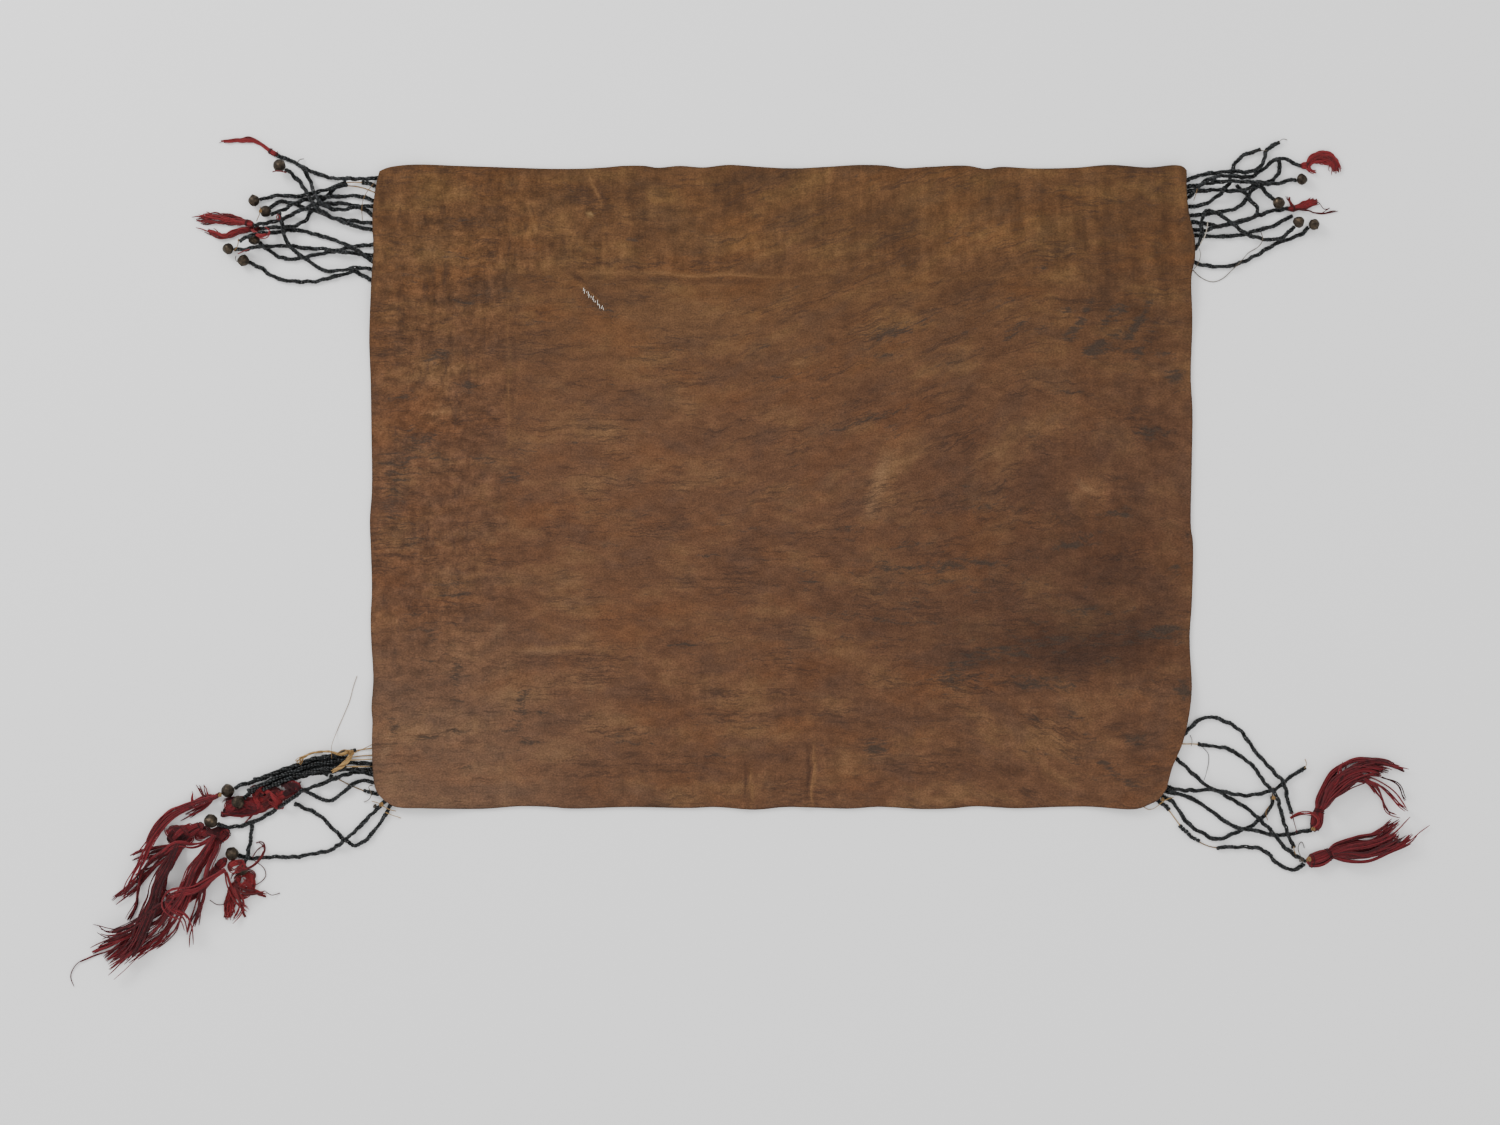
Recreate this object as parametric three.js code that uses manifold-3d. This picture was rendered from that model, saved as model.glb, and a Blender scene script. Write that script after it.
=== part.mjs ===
// A leather saddle blanket that lies flat on its beaded face. Strings of black beads, small round
// bells and red wool tassels are sewn to its four corners and lie spread on the ground beside it.
// Twine ties one bundle of the strings together.
// Millimetres, +Z up. The origin is on the ground, under the middle of the sheet.
import * as THREE from "three";
import { mergeVertices } from "three/addons/utils/BufferGeometryUtils.js";
import Module from "manifold-3d";

const wasm = await Module();
wasm.setup();

// Places in the plan are read on a grid of 1 mm, x to the right and y downwards.
// The sheet, about 820 long and 641 wide, has its middle at this point of the grid.
const SHEET_MIDDLE = { x: 782, y: 487 };

// The sheet
const LEATHER = 2.2; // thickness of the hide
const BORDER_EXTRA = 1.3; // how much more the sewn border measures, with its beadwork below
const BORDER_STEP = 7; // width of the slope at the border's inner edge
const BORDER_INNER = { left: 510, right: 1061, top: 276, bottom: 652 };
const STRIP_CLEARANCE = 0.7; // air between the sheet and the strips it lies on
const LIFT_FLAT = 20; // the sheet lies level this far around a strip
const LIFT_END = 78; // and is down on the ground again this far from it

// Strings of beads, and the strips under the sheet's edge that they are sewn to
const STRING_WIDTH = 4;
const STRING_HEIGHT = 4.2;
const THREAD = 1.6; // a bare stretch of string, where its beads have slid apart
const STRIP_WIDTH = 6;
const TWINE = 2.4; // thickness of the tie around a bundle of strings

// Bells
const BELL_LUG = 1.6; // how far the lug stands out from the ball
const BELL_LUG_WIDTH = 2.6;
const BELL_SLOT = { width: 1.4, depth: 2.2 };
const BELL_SIDES = 9;
const BELL_FLANGE = 1.06; // the seam around a bell, as a share of its radius

// How things lie on each other
const GAP = 0.7; // air between two pieces that lie on each other
const SIDE_CLEARANCE = 0.9; // two pieces closer than this in the plan have to lie on each other
const STEEPEST = 0.9; // rise of a piece over its run
const ROOT_LEVEL = 3; // a string stays on the ground for this length outside the sheet's edge
const STEP = 4; // distance between two stations of a route while it is being laid
const SAMPLE = 1.3; // distance between the points at which a route is tested
const DISC = 5; // a wide piece is tested as discs of about this size, side by side
const SEAT_GAP = 0.5; // between a string's end and what hangs on it
// A station is left out where its neighbours already give its place to within this much
const TOLERANCE = { plan: 0.55, base: 0.35, width: 1.4 };

// The sheet's outline, clockwise from the top left corner
const OUTLINE = {
  top: [
    [380, 172], [385, 169.4], [391, 167.6], [402, 166], [420, 165], [460, 166], [500, 167.3],
    [560, 169], [600, 168], [622, 166], [645, 166], [657, 167.8], [680, 166], [703, 167.5],
    [728, 165], [760, 167], [792, 168.5], [825, 167], [860, 165], [885, 165.7], [903, 168.3],
    [928, 167], [967, 165.8], [986, 169], [1000, 167], [1032, 168.5], [1075, 167.8], [1110, 165],
    [1148, 168], [1173, 165.7],
  ],
  right: [
    [1182, 167], [1186, 171], [1186, 192], [1188, 212], [1194, 240], [1194, 259], [1190.7, 278],
    [1192, 325], [1190.6, 378], [1192.3, 410], [1191.5, 470], [1190.8, 528], [1192.7, 541],
    [1191.8, 600], [1189.5, 638], [1191.3, 685],
  ],
  bottom: [
    [1190, 703], [1187, 722], [1181, 745], [1172, 766], [1166, 788], [1158, 799], [1149, 804],
    [1136, 808.6], [1090, 806.6], [1060, 806.8], [1015, 808.2], [975, 806.3], [950, 808.5],
    [920, 809], [878, 806.8], [850, 808.6], [820, 807.8], [786, 807], [755, 809.6], [715, 807],
    [690, 808], [630, 807], [570, 808.5], [550, 806.9], [521, 806.2], [482, 808.8], [425, 808],
  ],
  left: [
    [396, 806.5], [386, 801], [380, 795], [376, 788], [373.6, 772], [372.5, 740], [373, 720],
    [372, 708], [373.5, 680], [371.3, 640], [370.8, 618], [372, 590], [371, 550], [370, 520],
    [372, 490], [371.5, 430], [370.7, 380], [369.5, 343], [370.6, 310], [372, 280], [374, 250],
    [373, 220], [374.5, 200], [377.5, 182],
  ],
};

// Folds that run in from the edge: a soft ridge from one point to the other
const FOLDS = [
  { from: [598, 164], to: [606, 208], width: 9, height: 1.6 },
  { from: [791, 164], to: [791, 204], width: 10, height: 1.5 },
  { from: [806, 812], to: [796, 762], width: 9, height: 1.8 },
  { from: [745, 812], to: [750, 776], width: 10, height: 1.2 },
  { from: [575, 278], to: [606, 314], width: 10, height: 1.2 },
];

// Lines of the grid on which the sheet's two faces are worked out
const GRID_X = [
  360, 385, 410, 445, 506, 514, 575, 592, 601, 610, 670, 738, 747, 756, 782, 791, 800, 809, 930,
  1057, 1065, 1110, 1140, 1165, 1182, 1204,
];
const GRID_Y = [
  152, 190, 214, 240, 272, 280, 300, 318, 360, 460, 560, 648, 656, 700, 735, 762, 785, 822,
];

// The four corners. In each one, pieces are listed in the order in which they lie on each other, the
// lowest first. A string's route starts at the sheet's edge, and ends in the middle of its bell if it
// has one. bare gives the stretches with no beads, as shares of its length. A tassel's bundles are
// columns by rows of locks, and the widths of a bundle or a tie are spaced evenly along it.
const CORNERS = {
  tl: {
    strip: [[386, 175], [382, 205], [380, 240], [379, 286]],
    pieces: [
      { string: "t13", bell: 6, route: [[372, 281], [363, 276], [355, 271], [346, 274], [330, 278],
        [310, 282], [290, 281], [272, 276], [258, 266], [244, 261]] },
      { string: "t9", bell: 6, route: [[373, 245], [358, 246], [342, 250], [325, 253], [308, 257],
        [294, 259], [281, 258], [271, 252], [264, 246], [255, 240]] },
      { string: "t10", bell: 6, route: [[373, 255], [355, 254], [335, 251], [315, 249], [296, 247],
        [278, 246], [262, 248], [245, 250], [229, 249]] },
      { string: "t11", route: [[373, 262], [364, 255], [352, 248], [338, 241], [320, 236], [303, 231],
        [287, 231], [270, 234], [256, 236], [242, 241]] },
      { string: "t3", bare: [[0, 0.22]], route: [[376, 193], [363, 188], [349, 186], [338, 187],
        [329, 194], [317, 206], [311, 213], [304, 222], [295, 227], [278, 228], [261, 229]] },
      { tassel: "wool_tl_3", on: "t3", head: { route: [[261, 229], [251, 229]], width: 7, height: 5 },
        bundles: [
          { route: [[254, 229], [238, 232], [225, 237], [213, 233], [197, 226]], widths: [6, 7, 3],
            columns: 3, rows: 1, height: 4 },
          { route: [[255, 231], [262, 238], [270, 237], [272, 230]], widths: [3, 4, 2], columns: 1,
            rows: 1, height: 3 },
        ] },
      { string: "t7", bell: 6, route: [[373, 223], [358, 222], [345, 220], [330, 217], [318, 212],
        [305, 208], [294, 204], [281, 202], [272, 205], [266.4, 212]] },
      { string: "t6", route: [[373, 217], [366, 210], [356, 206], [345, 204], [332, 204], [318, 205.5],
        [307, 209.5], [294, 214], [284, 219], [270, 223], [256, 226]] },
      { tassel: "wool_tl_2", on: "t6", head: { route: [[256, 226], [247, 223]], width: 8, height: 5.5 },
        bundles: [
          { route: [[249, 223], [236, 221], [222, 219], [206, 216], [192, 215]], widths: [7, 10, 9],
            columns: 4, rows: 1, height: 4.5 },
        ] },
      { string: "t4", route: [[373, 200], [360, 196.5], [345, 196.5], [330, 197.5], [312, 199],
        [298, 203], [286, 210], [274, 215]] },
      { string: "t2", bell: 6, bare: [[0.1, 0.24]], route: [[376, 187], [366, 183], [349, 183],
        [334, 188], [316, 193], [298, 196], [278, 196], [255, 201]] },
      { string: "t1", route: [[378, 178], [356, 180], [326, 177], [303, 167], [289, 160], [279, 156]] },
      { tassel: "wool_tl_1", on: "t1", head: { route: [[279, 156], [270, 151]], width: 7, height: 5 },
        bundles: [
          { route: [[271, 151], [262, 145], [253, 140], [240, 140], [219, 142]], widths: [5, 4, 2.4],
            columns: 2, rows: 1, height: 3 },
        ] },
      { string: "t8", bell: 6.6, route: [[373, 230], [360, 228], [346, 223], [332, 218], [321, 211],
        [313, 202], [307, 192], [301, 183], [295, 177], [289, 172], [281, 167]] },
      { string: "t5", route: [[373, 206], [362, 207], [345, 210], [330, 209], [322, 204], [316, 194],
        [311, 183], [307, 175], [303, 167]] },
      { string: "t12", route: [[373, 270], [357, 268], [343, 271], [327, 271], [314, 265], [302, 256],
        [292, 248], [286, 239], [285, 229], [282, 216]] },
    ],
  },
  tr: {
    strip: [[1179, 174], [1180, 205], [1186, 236], [1187, 268]],
    pieces: [
      { string: "r10", bell: 6, route: [[1193, 262], [1207, 266], [1222, 267], [1237, 264],
        [1250, 259], [1263, 251], [1274, 245], [1287, 240], [1301, 234], [1313, 225]] },
      { string: "r7", route: [[1191, 222], [1206, 224], [1220, 226], [1234, 223], [1247, 219],
        [1260, 215], [1273, 211], [1286, 209]] },
      { tassel: "wool_tr_2", on: "r7", head: { route: [[1286, 209], [1294, 209]], width: 7, height: 5 },
        bundles: [
          { route: [[1293, 209], [1301, 207], [1309, 204], [1317, 200]], widths: [6, 8, 4], columns: 3,
            rows: 1, height: 4 },
          { route: [[1291, 208], [1288, 203], [1289, 197]], widths: [3, 3, 2], columns: 1, rows: 1,
            height: 3 },
          { route: [[1294, 211], [1306, 211], [1322, 213], [1338, 211]], widths: [1.4, 1.2, 1.2],
            columns: 1, rows: 1, height: 1.4 },
        ] },
      { string: "r9", route: [[1193, 236], [1205, 236], [1222, 237], [1240, 235], [1256, 231],
        [1270, 227], [1282, 221], [1291, 217]] },
      { string: "r6", route: [[1189, 216], [1202, 215], [1218, 212], [1233, 210], [1243, 203],
        [1250, 193], [1258, 186], [1270, 181], [1279, 173], [1279, 161]] },
      { string: "r11", route: [[1192, 229], [1206, 231], [1216, 227], [1230, 225], [1243, 222],
        [1253, 217], [1257, 211], [1252, 203], [1245, 195], [1237, 187]] },
      { string: "r8", bell: 6, route: [[1194.5, 250], [1200, 240], [1200, 226], [1204, 213], [1213, 212],
        [1225, 220], [1236, 229], [1250, 236], [1266, 240], [1281, 238], [1290, 231], [1297, 223]] },
      { string: "r3", bell: 6.4, route: [[1188, 192], [1202, 191], [1218, 190], [1232, 192],
        [1246, 190], [1257, 186], [1264, 192], [1270, 198], [1277, 204]] },
      { string: "r4", route: [[1188, 207], [1202, 205], [1213, 200], [1222, 191], [1229, 182],
        [1232, 172], [1235, 163], [1242, 156], [1251, 153], [1259, 150]] },
      { string: "r2", bell: 5.8, route: [[1187, 186.5], [1198, 185.5], [1210, 183.5], [1226, 183],
        [1242, 183], [1256, 183.5], [1268, 185], [1281, 183], [1291, 180], [1301, 180]] },
      { string: "r5", route: [[1188, 198], [1195, 190], [1204, 182], [1218, 178], [1236, 177.5],
        [1251, 177], [1263, 169], [1275, 160], [1287, 160.5], [1299, 166]] },
      { tassel: "wool_tr_1", on: "r5", head: { route: [[1299, 166], [1307, 166]], width: 9, height: 6 },
        bundles: [
          { route: [[1305, 164.5], [1311, 160], [1319, 157], [1328, 158], [1334, 164], [1338, 173]],
            widths: [8, 12, 3], columns: 4, rows: 1, height: 4.5 },
          { route: [[1303, 167], [1309, 171], [1316, 172]], widths: [3, 4, 3], columns: 1, rows: 1,
            height: 3.4 },
        ] },
      { string: "r1", route: [[1187, 180], [1200, 175.5], [1216, 172.7], [1234, 172.2], [1250, 172],
        [1259, 168], [1264, 160], [1265, 152], [1270, 147], [1278, 143]] },
    ],
  },
  br: {
    strip: [[1180, 726], [1172, 748], [1163, 768], [1156, 786], [1148, 795]],
    pieces: [
      { string: "q7", bare: [[0.07, 0.19], [0.34, 0.46]], route: [[1158, 800], [1167, 808],
        [1176, 820], [1184, 830], [1196, 840], [1212, 847], [1235, 847], [1252, 847], [1266, 852],
        [1276, 862], [1288, 869], [1297, 869], [1302, 864]] },
      { string: "q6", bare: [[0.93, 1]], route: [[1162, 796], [1172, 801], [1179, 812], [1189, 824],
        [1202, 833], [1215, 839], [1232, 834], [1248, 827], [1260, 819], [1270, 808], [1272, 797],
        [1273, 787]] },
      { string: "q5", route: [[1165, 791.5], [1180, 794], [1194, 800], [1209, 809], [1224, 821],
        [1241, 828], [1258, 831], [1274, 835], [1290, 834], [1301, 831], [1310, 830]] },
      { tassel: "wool_br_1", on: "q5",
        head: { route: [[1310, 830], [1315, 826], [1317, 817], [1319, 809]], width: 13, height: 9 },
        bundles: [
          { route: [[1318, 812], [1323, 800], [1332, 787], [1343, 777], [1356, 769], [1372, 767],
            [1388, 770], [1404, 777]], widths: [12, 25, 19, 17], columns: 5, rows: 2, height: 9 },
          { route: [[1321, 808], [1334, 793], [1348, 778], [1362, 779], [1374, 789], [1382, 801],
            [1390, 815]], widths: [4, 5, 4], columns: 2, rows: 1, height: 3 },
          { route: [[1320, 808], [1333, 785], [1352, 773], [1368, 776], [1384, 784], [1396, 794],
            [1406, 809]], widths: [2, 2, 1.8], columns: 1, rows: 1, height: 2 },
        ] },
      { string: "q4", route: [[1167, 786.5], [1182, 790], [1198, 790], [1214, 790], [1230, 798],
        [1246, 808], [1260, 820], [1273, 834], [1284, 847], [1294, 855], [1304, 860]] },
      { tassel: "wool_br_2", on: "q4",
        head: { route: [[1304, 860], [1312, 860], [1322, 857], [1330, 853]], width: 16, height: 11 },
        bundles: [
          { route: [[1326, 853], [1342, 849], [1358, 847], [1374, 845], [1388, 839], [1400, 829],
            [1411, 819]], widths: [12, 24, 25, 22], columns: 6, rows: 2, height: 9 },
          { route: [[1328, 855], [1345, 860], [1366, 860], [1388, 851], [1410, 840], [1430, 826]],
            widths: [4, 5, 4], columns: 2, rows: 1, height: 3.4 },
        ] },
      { string: "q3", route: [[1175, 758], [1186, 767], [1196, 777], [1207, 786], [1225, 792],
        [1244, 795], [1262, 793], [1277, 787], [1290, 777], [1304, 768]] },
      { string: "q2", bare: [[0, 0.1]], route: [[1181, 744], [1197, 744], [1212, 746], [1228, 749],
        [1242, 757], [1254, 768], [1265, 784], [1273, 793], [1279, 805], [1283, 822], [1288, 836],
        [1293, 846]] },
      { string: "q1", route: [[1184, 735], [1190, 728], [1198, 720], [1209, 717], [1222, 720],
        [1236, 727], [1247, 740], [1259, 756], [1271, 769], [1281, 780], [1286, 795], [1291, 812]] },
    ],
  },
  bl: {
    strip: [[381, 740], [381, 766], [386, 783], [393, 791], [401, 797]],
    pieces: [
      { string: "s5b", route: [[390, 807], [380, 823], [367, 839], [355, 845], [345, 840],
        [334, 829], [322, 817], [308, 809], [296, 804]] },
      { string: "s5a", bell: 7, route: [[384, 802], [372, 814], [358, 828], [344, 841], [330, 850],
        [312, 854], [290, 857], [268, 857], [250, 858], [233, 853]] },
      { string: "s4", bare: [[0.26, 0.84]], route: [[378, 794], [365, 791], [352, 786], [340, 780],
        [327, 774]] },
      { string: "s3", route: [[375, 782], [360, 781], [347, 789], [330, 801], [316, 796],
        [305, 790]] },
      { tassel: "wool_bl_6", on: "s3",
        head: { route: [[305, 790], [297, 790]], width: 9, height: 6 },
        bundles: [
          { route: [[293, 792], [279, 797], [261, 804], [243, 810], [223, 816]], widths: [7, 13, 12],
            columns: 3, rows: 2, height: 6.4 },
        ] },
      { string: "s2", bell: 7.4, route: [[373, 775], [362, 772], [350, 773], [334, 779], [318, 785],
        [303, 791], [288, 801], [272, 812], [255, 821], [240, 826], [226, 826], [213, 820]] },
      { string: "s6", beside: "s2", bell: 6, route: [[252, 823], [251, 836], [250, 848], [248, 857],
        [243, 869]] },
      { string: "s1d", route: [[373, 770], [360, 769], [348, 769], [332, 771], [312, 774], [295, 778],
        [279, 784], [264, 793]] },
      { string: "s1b", bell: 6.6, route: [[373, 763], [360, 763], [348, 763], [334, 764.5],
        [316, 767], [299, 771], [280, 778], [263, 785.5], [252, 792], [240, 801]] },
      { string: "s1a", bell: 7, bare: [[0, 0.16]], route: [[373, 755], [360, 756], [349, 757.5],
        [335, 758.5], [318, 760.5], [300, 765], [280, 772], [262, 778.5], [245, 784], [229, 790]] },
      { string: "s1e", bare: [[0, 0.16]], route: [[373, 748], [359, 750], [345, 752.5], [328, 755.5],
        [310, 760], [291, 766.5], [272, 773.5], [256, 779]] },
      { string: "s1f", bare: [[0, 0.22]], route: [[373, 766.5], [361, 766], [347, 766], [332, 768],
        [314, 770.5], [298, 775], [281, 781.2], [265, 789.5]] },
      { string: "s1g", bare: [[0, 0.2]], route: [[373, 759], [360, 759.5], [347, 760], [334, 761.5],
        [316, 764.2], [299, 769.2], [281, 775.7], [265, 783], [251, 790]] },
      { tie: "twine_bl", widths: [4, 2.2, 2, 2.4, 4.6, 5, 3], route: [[298, 762], [305, 756],
        [317, 752], [331, 751], [342, 754], [351, 750], [351, 757], [345, 764], [334, 771]] },
      { tassel: "wool_bl_2", on: "s2",
        head: { route: [[204.6, 824], [193, 830], [184, 837], [180, 848]], width: 12, height: 8 },
        bundles: [
          { route: [[180, 845], [165, 850], [150, 853], [132, 859]], widths: [9, 11, 6], columns: 3,
            rows: 1, height: 5 },
          { route: [[180, 847], [160, 861], [141, 878], [127, 890], [114, 902]], widths: [6, 9, 13],
            columns: 4, rows: 1, height: 4 },
          { route: [[181, 847], [168, 867], [158, 890], [149, 912], [139, 934], [126, 950],
            [108, 963]], widths: [9, 15, 14], columns: 4, rows: 2, height: 5.6 },
          { route: [[178, 845], [152, 856], [141, 872], [139, 890], [136, 905], [128, 920]],
            widths: [5, 7, 3], columns: 2, rows: 1, height: 3.6 },
        ] },
      { tassel: "wool_bl_1", on: "s1a",
        head: { route: [[221.2, 793.6], [214, 797]], width: 6, height: 4.5 },
        bundles: [
          { route: [[219, 794], [204, 797], [190, 805], [172, 811], [158, 824], [149, 840],
            [141, 852]], widths: [4, 6, 5], columns: 2, rows: 1, height: 4 },
          { route: [[217, 797], [206, 806], [193, 813], [180, 819]], widths: [3, 6, 5], columns: 2,
            rows: 1, height: 4 },
        ] },
      { tassel: "wool_bl_4", on: "s5a",
        head: { route: [[226.4, 858.6], [218, 867]], width: 10, height: 7 },
        bundles: [
          { route: [[220, 865], [206, 881], [190, 895], [172, 906], [156, 918], [138, 929],
            [115, 938], [91, 948]], widths: [8, 13, 10, 11], columns: 4, rows: 2, height: 5.6 },
          { route: [[221, 867], [203, 889], [186, 899], [173, 897], [167, 887], [171, 877]],
            widths: [5, 8, 5], columns: 2, rows: 1, height: 4 },
          { route: [[221, 866], [198, 888], [172, 903], [150, 918], [130, 927], [110, 928],
            [93, 925]], widths: [3, 4, 2.4], columns: 1, rows: 1, height: 3 },
          { route: [[221, 866], [190, 893], [160, 918], [128, 943], [108, 951], [90, 957], [77, 964],
            [71, 976], [75, 986]], widths: [2, 2, 1.4], columns: 1, rows: 1, height: 1.8 },
        ] },
      { tassel: "wool_bl_3", on: "s2", side: true,
        head: { route: [[230, 829], [219, 840]], width: 12, height: 7 },
        bundles: [
          { route: [[220, 838], [205, 856], [196, 872], [191, 888], [185, 904], [175, 921],
            [159, 939], [137, 956], [112, 974]], widths: [9, 13, 9, 10], columns: 4, rows: 1,
            height: 5 },
          { route: [[222, 841], [213, 860], [208, 880], [203, 898], [197, 916], [192, 932],
            [189, 947]], widths: [6, 8, 11], columns: 4, rows: 1, height: 4 },
        ] },
      { tassel: "wool_bl_5", on: "s6",
        head: { route: [[240.4, 876.6], [237, 882]], width: 7, height: 5 },
        bundles: [
          { route: [[237, 880], [232, 890], [230, 904], [229, 920]], widths: [6, 9, 5], columns: 3,
            rows: 1, height: 4 },
          { route: [[238, 881], [245, 888], [255, 891], [267, 894]], widths: [3, 5, 3], columns: 2,
            rows: 1, height: 3 },
          { route: [[237, 881], [240, 900], [246, 917]], widths: [2, 3, 2], columns: 1, rows: 1,
            height: 2.4 },
        ] },
    ],
  },
};

const LEATHER_BROWN = new THREE.MeshStandardMaterial({ color: 0x6b4a33, roughness: 0.85 });
const BEAD_BLACK = new THREE.MeshStandardMaterial({ color: 0x1c1f20, roughness: 0.35 });
const WOOL_RED = new THREE.MeshStandardMaterial({ color: 0x7a1e22, roughness: 0.95 });
const BELL_BRASS = new THREE.MeshStandardMaterial({ color: 0x5a5042, roughness: 0.5, metalness: 0.8 });
const TWINE_TAN = new THREE.MeshStandardMaterial({ color: 0x9a7846, roughness: 0.9 });

// A point of the plan grid, in the part's own frame
function place([x, y]) {
  return new THREE.Vector2(x - SHEET_MIDDLE.x, SHEET_MIDDLE.y - y);
}

// A solid for cutting and joining, from a closed geometry
function solidOf(geometry) {
  const bare = new THREE.BufferGeometry();
  bare.setAttribute("position", geometry.getAttribute("position"));
  bare.setIndex(geometry.index);
  const merged = mergeVertices(bare, 1e-3);
  return new wasm.Manifold(
    new wasm.Mesh({
      numProp: 3,
      vertProperties: merged.getAttribute("position").array,
      triVerts: new Uint32Array(merged.index.array),
    }),
  );
}

// The geometry of a solid
function geometryOf(solid) {
  const mesh = solid.getMesh();
  const places = new Float32Array(mesh.numVert * 3);
  for (let i = 0; i < mesh.numVert; i++) {
    places.set(mesh.vertProperties.subarray(i * mesh.numProp, i * mesh.numProp + 3), i * 3);
  }
  const geometry = new THREE.BufferGeometry();
  geometry.setAttribute("position", new THREE.BufferAttribute(places, 3));
  geometry.setIndex(new THREE.BufferAttribute(mesh.triVerts, 1));
  return geometry;
}

// All solids as one, with any pocket that they close off filled
function joined(solids) {
  const union = (list) => list.reduce((all, next) => all.add(next));
  return union(union(solids).decompose().filter((body) => body.volume() > 0));
}

function named(name, solid, material) {
  const geometry = geometryOf(solid).toNonIndexed();
  geometry.computeVertexNormals();
  const mesh = new THREE.Mesh(geometry, material);
  mesh.name = name;
  return mesh;
}

// 1 close to a line, 0 beyond its end distance, with a soft slope between
function fade(distance, level, end) {
  return 1 - THREE.MathUtils.smoothstep(distance, level, end);
}

// The point of a line of points that lies nearest to a point
function nearestOn(line, point) {
  const nearest = line[0].clone();
  for (let i = 1; i < line.length; i++) {
    const along = line[i].clone().sub(line[i - 1]);
    const offset = point.clone().sub(line[i - 1]);
    const share = THREE.MathUtils.clamp(offset.dot(along) / along.lengthSq(), 0, 1);
    const foot = along.multiplyScalar(share).add(line[i - 1]);
    if (foot.distanceTo(point) < nearest.distanceTo(point)) nearest.copy(foot);
  }
  return nearest;
}

function distanceToLine(point, line) {
  return nearestOn(line, point).distanceTo(point);
}

// How far the sheet is off the ground at a point: over the strips at its corners, and in its folds
function liftAt(point) {
  let lift = 0;
  for (const corner of Object.values(CORNERS)) {
    const distance = distanceToLine(point, corner.strip.map(place));
    const height = STRING_HEIGHT + STRIP_CLEARANCE;
    lift = Math.max(lift, height * fade(distance, LIFT_FLAT, LIFT_END));
  }
  for (const fold of FOLDS) {
    const distance = distanceToLine(point, [place(fold.from), place(fold.to)]);
    lift += fold.height * fade(distance, 0, fold.width);
  }
  return lift;
}

// The sheet's thickness at a point: thicker in the border, where the beadwork is sewn on
function thicknessAt(point) {
  const low = place([BORDER_INNER.left, BORDER_INNER.bottom]);
  const high = place([BORDER_INNER.right, BORDER_INNER.top]);
  const inside = Math.min(point.x - low.x, high.x - point.x, point.y - low.y, high.y - point.y);
  const slope = BORDER_STEP / 2;
  return LEATHER + BORDER_EXTRA * (1 - THREE.MathUtils.smoothstep(inside, -slope, slope));
}

// A closed slab whose top and bottom are worked out at the crossings of the grid's lines
function slab(xs, ys, heights) {
  const columns = xs.length;
  const count = columns * ys.length;
  const places = [];
  const index = [];
  for (const side of ["bottom", "top"]) {
    for (const y of ys) {
      for (const x of xs) {
        const point = place([x, y]);
        places.push(point.x, point.y, heights(point)[side]);
      }
    }
  }
  const quad = (a, b, c, d) => index.push(a, b, c, a, c, d);
  for (let row = 0; row + 1 < ys.length; row++) {
    for (let column = 0; column + 1 < columns; column++) {
      const a = row * columns + column;
      quad(a, a + 1, a + columns + 1, a + columns);
      quad(count + a, count + a + columns, count + a + columns + 1, count + a + 1);
    }
  }
  const wall = (a, b) => quad(a, count + a, count + b, b);
  const last = count - columns;
  for (let column = 0; column + 1 < columns; column++) {
    wall(column, column + 1);
    wall(last + column + 1, last + column);
  }
  for (let row = 0; row + 1 < ys.length; row++) {
    wall((row + 1) * columns, row * columns);
    wall(row * columns + columns - 1, (row + 1) * columns + columns - 1);
  }
  const geometry = new THREE.BufferGeometry();
  geometry.setAttribute("position", new THREE.Float32BufferAttribute(places, 3));
  geometry.setIndex(index);
  return solidOf(geometry);
}

function sheet() {
  const points = Object.values(OUTLINE).flat().map(place);
  const outline = new THREE.ExtrudeGeometry(new THREE.Shape(points), {
    depth: 40,
    bevelEnabled: false,
  });
  outline.translate(0, 0, -10);
  const faces = slab(GRID_X, GRID_Y, (point) => {
    const bottom = liftAt(point);
    return { bottom, top: bottom + thicknessAt(point) };
  });
  return faces.intersect(solidOf(outline));
}

// Flat-bottomed sections, one unit wide and high, by their number of sides
const SECTIONS = {
  3: [[-0.5, 0], [0.5, 0], [0, 1]],
  4: [[-0.5, 0], [0.5, 0], [0.5, 1], [-0.5, 1]],
  6: [[-0.3, 0], [0.3, 0], [0.5, 0.5], [0.3, 1], [-0.3, 1], [-0.5, 0.5]],
};

// The direction across a route at each of its stations, in the plan
function acrossAt(stations, i) {
  const before = stations[Math.max(i - 1, 0)];
  const after = stations[Math.min(i + 1, stations.length - 1)];
  const along = new THREE.Vector2(after.x - before.x, after.y - before.y).normalize();
  return new THREE.Vector2(-along.y, along.x);
}

// A closed tube through stations, each with its place, base height, width and height
function sweep(stations, sides) {
  const section = SECTIONS[sides];
  const places = [];
  const index = [];
  stations.forEach((station, i) => {
    const across = acrossAt(stations, i);
    for (const [side, up] of section) {
      const shift = -side * station.width;
      places.push(station.x + across.x * shift, station.y + across.y * shift);
      places.push(station.base + up * station.height);
    }
  });
  for (let i = 0; i + 1 < stations.length; i++) {
    for (let k = 0; k < sides; k++) {
      const a = i * sides + k;
      const b = i * sides + ((k + 1) % sides);
      index.push(a, b, b + sides, a, b + sides, a + sides);
    }
  }
  const end = (stations.length - 1) * sides;
  for (let k = 1; k + 1 < sides; k++) {
    index.push(0, k + 1, k, end, end + k, end + k + 1);
  }
  const geometry = new THREE.BufferGeometry();
  geometry.setAttribute("position", new THREE.Float32BufferAttribute(places, 3));
  geometry.setIndex(index);
  const solid = solidOf(geometry);
  if (solid.volume() > 0) return solid;
  geometry.setIndex(index.reverse());
  return solidOf(geometry);
}

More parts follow.
